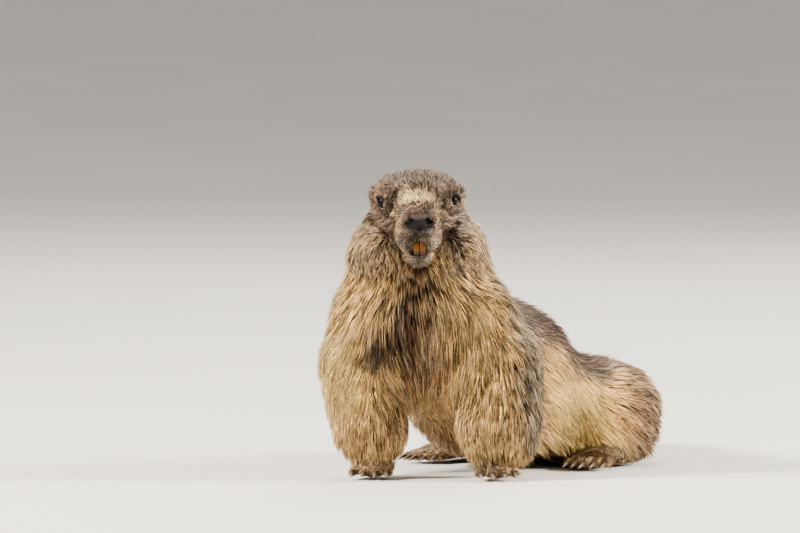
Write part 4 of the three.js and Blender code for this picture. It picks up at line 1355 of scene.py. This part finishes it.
def tuftShades(kind, path, tones, rings):
    # colour from root to tip, dark in the depth of the coat, from the hairs' own dark bases and painted shade
    # there, and ticked at its ends
    tone, cream, grizzle = tones
    colour = coatColour(path[-1] * 0.5 + path[0] * 0.5)
    cream = cream * smoothStep(colour.mean(1, keepdims=True), *hair["creamFrom"])
    colour = colour * tone
    rows = [colour * hair[kind]["root"] ** grizzle] * 3
    if rings == 2:
        rows += [colour * hair[kind]["middle"] ** grizzle] * 3
    tip = colour * hair["tip"]
    pale = linear(hair["creamTip"]) * np.maximum(tone, hair["creamTone"]) * hair["creamTone"]
    tip = tip + (pale - tip) * cream
    return capped(np.stack(rows + [tip], 1).reshape(-1, 3))


def tuftMesh(name, kind, chosen, laid, tones, roots, material):
    path, facing, width = laid[0][:, chosen], laid[1][:, chosen], laid[2][chosen]
    rings = len(path) - 1
    tapers, shares = tuftRings[rings]
    points = []
    for i in range(rings):
        ahead = unit(path[i + 1] - path[max(i - 1, 0)])
        across = unit(np.cross(ahead, facing[i]))
        up = np.cross(across, ahead)
        half = (width * tapers[i] / 2)[:, None]
        for u, v in tuftCorners:
            points.append(path[i] + across * u * half + up * v * half * coat["flatness"] * 2)
    points.append(path[-1])
    points = np.stack(points, 1)  # tuft, corner, xyz
    pattern, patch = tuftPattern(rings, shares)
    triangles = (np.arange(len(chosen))[:, None, None] * len(points[0]) + pattern).reshape(-1, 3)
    piece = meshFrom(name, toScene(points.reshape(-1, 3)), triangles, material)
    uv = roots["uv"][chosen][:, None, None] + (patch - 0.5) * coat["bakePatch"]
    layer = piece.data.uv_layers.new(name="OFBake")
    layer.data.foreach_set("uv", np.ascontiguousarray(uv, np.float32).ravel())
    shades = tuftShades(kind, path, [values[chosen, None] for values in tones], rings)
    setAttribute(piece.data, "coatColour", "FLOAT_COLOR", shades)
    return piece


tuftTriangles = {"long": 10, "short": 10, "fine": 4}
fewestTufts = 50  # in a piece
fineOnFeet = 0.35


def makeCoat(skinObject, points, material):
    random = np.random.default_rng(seeds["coat"])
    grid = CoatGrid()
    skin = SkinPlaces(skinObject, points)
    isLong = smoothStep(skin.depth, coat["longFrom"] - 1, coat["longFrom"] + 1)
    longSpread = isLong * np.clip(coat["fullDepth"] / np.maximum(skin.depth, 1), 1, 1.8)
    isFine = 1 - smoothStep(skin.depth, coat["fineTo"] - 0.4, coat["fineTo"] + 0.4)
    isShort = (1 - isLong) * (1 - isFine)
    isFine[skin.part == parts.index("foot")] *= fineOnFeet
    total = 0
    for kind, spread in (("long", longSpread), ("short", isShort), ("fine", isFine)):
        roots = skin.roots(coat["tufts"][kind], spread, random)
        laid = layLong(roots, grid, random) if kind == "long" else layShort(kind, roots, random)
        tones = tuftTones(kind, laid, roots, random)
        for number, part in enumerate(parts):
            chosen = np.nonzero(roots["part"] == number)[0]
            if len(chosen) < fewestTufts:
                continue
            count = math.ceil(len(chosen) * tuftTriangles[kind] / coat["mostTriangles"])
            order = chosen[np.argsort(roots["root"][chosen][:, 1], kind="stable")]
            for i, some in enumerate(np.array_split(order, count)):
                name = f"coat_{part}_{kind}_{i + 1}"
                piece = tuftMesh(name, kind, some, laid, tones, roots, material)
                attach(piece, "root")
                total += len(piece.data.polygons)
                print(name, len(some), "tufts", len(piece.data.polygons), "triangles")
    print("coat in all", total)


# Eyes
eyeSizes = {"iris": 5.2, "bulge": 0.3, "clearance": 0.15, "sides": 40, "rings": 28}


def makeEye(side, material):
    sphere = bmesh.new()
    bmesh.ops.create_uvsphere(sphere, u_segments=eyeSizes["sides"], v_segments=eyeSizes["rings"], radius=1)
    mesh = bpy.data.meshes.new("eye")
    sphere.to_mesh(mesh)
    sphere.free()
    points = np.empty(len(mesh.vertices) * 3)
    mesh.vertices.foreach_get("co", points)
    points = points.reshape(-1, 3)
    turned = np.array(Vector((0, 0, 1)).rotation_difference(eyeFacing(side)).to_matrix())
    away = np.hypot(points[:, 0], points[:, 1]) * face["eyeRadius"] / eyeSizes["iris"]
    away = np.where(points[:, 2] > 0, away, 2)
    swell = eyeSizes["bulge"] * (1 - smoothStep(away, 0.2, 1.1))
    shape = points * (face["eyeRadius"] - eyeSizes["clearance"] + swell)[:, None]
    centre = np.array((side * face["eye"][0], *face["eye"][1:]))
    plan = shape @ turned.T + centre
    plan = np.array([at(headFrame, p) for p in plan])
    mesh.vertices.foreach_set("co", toScene(plan).ravel())
    mesh.update()
    mesh.shade_smooth()
    setAttribute(mesh, "irisPlace", "FLOAT", np.clip(away, 0, 1.2) * 0.85)
    name = "eyeball_left" if side > 0 else "eyeball_right"
    piece = bpy.data.objects.new(name, mesh)
    bpy.context.scene.collection.objects.link(piece)
    mesh.materials.append(material)
    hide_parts("eye_left" if side > 0 else "eye_right")
    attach(piece, "root")


# Teeth and claws, lofts of rings
def loftPiece(name, rows, alongs, material):
    points, triangles, along = [], [], []
    for rings, shares in zip(rows, alongs):
        start = len(points)
        sides = len(rings[0])
        for ring, share in zip(rings, shares):
            points.extend(ring)
            along.extend([share] * sides)
        for i in range(len(rings) - 1):
            for j in range(sides):
                a, b = start + i * sides + j, start + i * sides + (j + 1) % sides
                triangles += [(a, b, b + sides), (a, b + sides, a + sides)]
        for end, turn in ((0, 1), (len(rings) - 1, -1)):
            middle = len(points)
            points.append(np.mean(rings[end], axis=0))
            along.append(shares[end])
            for j in range(sides):
                a, b = start + end * sides + j, start + end * sides + (j + 1) % sides
                triangles.append((a, middle, b)[::turn])
    piece = meshFrom(name, toScene(np.array(points)), np.array(triangles), material)
    surface = bmesh.new()
    surface.from_mesh(piece.data)
    bmesh.ops.recalc_face_normals(surface, faces=surface.faces)
    surface.to_mesh(piece.data)
    surface.free()
    setAttribute(piece.data, "along", "FLOAT", np.array(along))
    return piece


incisor = {
    "width": 5.3,
    "depth": 4,
    "top": -24,
    "tip": -36.6,
    "y": -58,
    "bow": 3,
    "sweep": 1.9,
    "middle": 0.4,
    "corners": (0.55, 0.7),  # lower is squarer, across and from front to back
    "rings": 12,
    "sides": 16,
}


def makeIncisor(side, material):
    rings, shares = [], np.linspace(0, 1, incisor["rings"])
    for share in shares:
        z = incisor["top"] + (incisor["tip"] - incisor["top"]) * share
        y = incisor["y"] - incisor["bow"] * math.sin(share * incisor["sweep"]) + 1.5 * share
        rounded = math.sqrt(1 - 0.5 * max(share - 0.85, 0) / 0.15)
        halfWidth = (incisor["width"] / 2 - 0.1) * (0.84 + 0.16 * share) * rounded
        halfDepth = incisor["depth"] / 2 * (1 - 0.75 * share)
        ring = []
        for k in range(incisor["sides"]):
            angle = math.tau * k / incisor["sides"]
            c, s = math.cos(angle), math.sin(angle)
            u = math.copysign(abs(c) ** incisor["corners"][0], c)
            v = math.copysign(abs(s) ** incisor["corners"][1], s)
            across = incisor["middle"] + side * incisor["width"] / 2 + u * halfWidth
            ring.append(at(headFrame, (across, y + v * halfDepth, z)))
        rings.append(ring)
    name = "tooth_left" if side > 0 else "tooth_right"
    piece = loftPiece(name, [rings], [shares], material)
    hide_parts("incisor_left" if side > 0 else "incisor_right")
    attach(piece, "root")


claw = {
    "length": 11.5,
    "girth": 4.2,
    "droop": 3.6,
    "sunk": 3,  # mm of it inside the toe
    "ahead": 4,  # mm past the toe's last centre
    "narrow": 0.72,
    "rings": 8,
    "sides": 10,
}


def makeClaws(material):
    rows, alongs = [], []
    ends = []
    feet = [(leg["frame"], foreToes) for leg in forelegs]
    feet += [(hindFrames[side], hindToes) for side in (1, -1)]
    for place, toes in feet:
        ends += [(place, toeTip(toes, across, claw["ahead"])) for across in toes["places"]]
    for place, (x, y, z) in ends:
        rings = []
        shares = np.linspace(0, 1, claw["rings"])
        for share in shares:
            forward = -claw["sunk"] + (claw["length"] + claw["sunk"]) * share
            drop = claw["droop"] * share ** 1.8
            size = claw["girth"] / 2 * (1 - share ** 2.2) + 0.12
            ring = []
            for k in range(claw["sides"]):
                angle = math.tau * k / claw["sides"]
                u, v = math.cos(angle) * claw["narrow"], math.sin(angle)
                v = v * (0.75 if v < 0 else 1)
                ring.append(at(place, (x + u * size, y - forward, max(z + 0.6 - drop + v * size, 0.3))))
            rings.append(ring)
        rows.append(rings)
        alongs.append(shares)
    piece = loftPiece("claws", rows, alongs, material)
    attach(piece, "root")


# Whiskers, by geometry nodes along their curves
whiskers = {"each": 9, "length": (24, 42), "thickness": 0.15, "steps": 7, "sides": 6}


def whiskerNodes(material):
    tree = bpy.data.node_groups.new("whiskerTubes", "GeometryNodeTree")
    tree.interface.new_socket("Geometry", in_out="INPUT", socket_type="NodeSocketGeometry")
    tree.interface.new_socket("Thickness", in_out="INPUT", socket_type="NodeSocketFloat")
    tree.interface.new_socket("Sides", in_out="INPUT", socket_type="NodeSocketInt")
    tree.interface.new_socket("Geometry", in_out="OUTPUT", socket_type="NodeSocketGeometry")
    nodes, links = tree.nodes, tree.links
    given, out = nodes.new("NodeGroupInput"), nodes.new("NodeGroupOutput")
    profile = nodes.new("GeometryNodeCurvePrimitiveCircle")
    links.new(given.outputs["Sides"], profile.inputs["Resolution"])
    links.new(given.outputs["Thickness"], profile.inputs["Radius"])
    tube = nodes.new("GeometryNodeCurveToMesh")
    tube.inputs["Fill Caps"].default_value = True
    links.new(given.outputs["Geometry"], tube.inputs["Curve"])
    links.new(profile.outputs["Curve"], tube.inputs["Profile Curve"])
    realized = nodes.new("GeometryNodeRealizeInstances")
    finish = nodes.new("GeometryNodeSetMaterial")
    finish.inputs["Material"].default_value = material
    links.new(tube.outputs["Mesh"], realized.inputs["Geometry"])
    links.new(realized.outputs["Geometry"], finish.inputs["Geometry"])
    links.new(finish.outputs["Geometry"], out.inputs["Geometry"])
    return tree


def makeWhiskers(material):
    random = np.random.default_rng(seeds["whiskers"])
    data = bpy.data.curves.new("whiskerLines", "CURVE")
    data.dimensions = "3D"
    for side in (1, -1):
        for i in range(whiskers["each"]):
            row, column = i % 4, i // 4
            root = np.array((side * (15 + column * 2.2), -57 + column * 5.5, -15 - row * 4.2))
            root = root + (random.random(3) - 0.5) * 2
            out = unit(np.array((side * (0.95 - 0.1 * column), -0.25 + 0.4 * column, 0.18 - row * 0.24)))
            length = between(whiskers["length"], random.random())
            spline = data.splines.new("POLY")
            spline.points.add(whiskers["steps"])
            for k, point in enumerate(spline.points):
                share = k / whiskers["steps"]
                p = root + out * length * share + np.array((0, 6, -4 - row)) * share ** 2
                point.co = (*toScene(at(headFrame, p)), 1)
                point.radius = 1 - 0.85 * share
    lines = bpy.data.objects.new("whiskerLines", data)
    bpy.context.scene.collection.objects.link(lines)
    modifier = lines.modifiers.new("tubes", "NODES")
    modifier.node_group = whiskerNodes(material)
    items = modifier.node_group.interface.items_tree
    sockets = {item.name: item.identifier for item in items if item.in_out == "INPUT"}
    modifier[sockets["Thickness"]] = whiskers["thickness"] * planScale
    modifier[sockets["Sides"]] = whiskers["sides"]
    evaluated = lines.evaluated_get(bpy.context.evaluated_depsgraph_get())
    mesh = bpy.data.meshes.new_from_object(evaluated)
    mesh.name = "whiskers"
    piece = bpy.data.objects.new("whiskers", mesh)
    bpy.context.scene.collection.objects.link(piece)
    bpy.data.objects.remove(lines)
    print("whiskers", len(mesh.polygons), "faces")
    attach(piece, "root")


# Floor and light
studio = {
    "floor": (226, 222, 214),
    "floorReach": 22,  # metres to each side
    "aim": (0, 0, 0.12),
    "sky": (1.0, 0.98, 0.95),
    "skyStrength": 0.56,
    # place in metres, size, power, colour
    "lamps": [
        ((-2.9, -1.6, 2.0), 0.8, 510, (1, 0.94, 0.86)),
        ((3.3, -0.4, 1.2), 1.2, 470, (1, 0.95, 0.88)),
        ((0.6, 2.8, 2.6), 1.8, 140, (1, 0.96, 0.9)),
    ],
}


def makeStudio():
    material, nodes, links, shader = newMaterial("paleFloor")
    noise = objectTexture(nodes, links, "ShaderNodeTexNoise", 3)
    ramp = rampNode(nodes, [(0.3, studio["floor"]), (0.7, tuple(c + 5 for c in studio["floor"]))])
    links.new(noise.outputs["Fac"], ramp.inputs["Fac"])
    links.new(ramp.outputs["Color"], shader.inputs["Base Color"])
    shader.inputs["Roughness"].default_value = 0.9
    size = studio["floorReach"]
    corners = np.array([(-size, -size, 0), (size, -size, 0), (size, size, 0), (-size, size, 0)], float)
    floor = meshFrom("floor", corners, np.array([(0, 1, 2), (0, 2, 3)]), material)
    sky = bpy.data.worlds.new("sky")
    sky.use_nodes = True
    background = sky.node_tree.nodes["Background"]
    background.inputs["Color"].default_value = (*studio["sky"], 1)
    background.inputs["Strength"].default_value = studio["skyStrength"]
    bpy.context.scene.world = sky
    for place, size, power, colour in studio["lamps"]:
        data = bpy.data.lights.new("softBox", "AREA")
        data.size, data.energy, data.color = size, power, colour
        lamp = bpy.data.objects.new("softBox", data)
        lamp.location = place
        lamp.rotation_euler = (Vector(studio["aim"]) - Vector(place)).to_track_quat("-Z", "Y").to_euler()
        bpy.context.scene.collection.objects.link(lamp)


def colourSkin(skinObject, points, material):
    skinObject.data.materials.append(material)
    bare, bareColour = bareness(points)
    # the skin under the coat is darker than the coat: the underfur's own colour, and painted shade between
    # the tufts
    furred = coatColour(points) * coatLook["underneath"]
    shade = furred * (1 - bare[:, None]) + bareColour * bare[:, None]
    setAttribute(skinObject.data, "coatColour", "FLOAT_COLOR", shade)
    setAttribute(skinObject.data, "bare", "FLOAT", bare)


makeCamera()
makeStudio()
ticking = makeTicking()
coatMaterial = makeCoatMaterial(ticking)
skinMaterial = makeSkinMaterial(ticking)
print("skin")
skinObject, skinPoints = makeSkin()
colourSkin(skinObject, skinPoints, skinMaterial)
flesh = [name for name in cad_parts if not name.startswith(("eye_", "incisor_"))]
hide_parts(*flesh)
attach(skinObject, "root")
print("skin", len(skinObject.data.polygons), "faces")
print("coat")
makeCoat(skinObject, skinPoints, coatMaterial)
print("eyes, teeth, claws and whiskers")
eyeMaterial = makeEyeMaterial()
enamel = [(0.1, (38, 16, 0)), (0.5, (72, 36, 0)), (0.85, (88, 46, 0)), (1, (52, 25, 1))]
enamelMaterial = makeHornMaterial("enamel", enamel, 900, 0.28)
horn = [(0.1, (46, 38, 33)), (0.6, (70, 60, 52)), (1, (128, 112, 96))]
clawMaterial = makeHornMaterial("horn", horn, 700, 0.38)
whiskerMaterial = makeHornMaterial("whisker", [(0.2, (70, 58, 48)), (0.9, (150, 134, 116))], 500, 0.4)
for side in (1, -1):
    makeEye(side, eyeMaterial)
    makeIncisor(side, enamelMaterial)
makeClaws(clawMaterial)
makeWhiskers(whiskerMaterial)
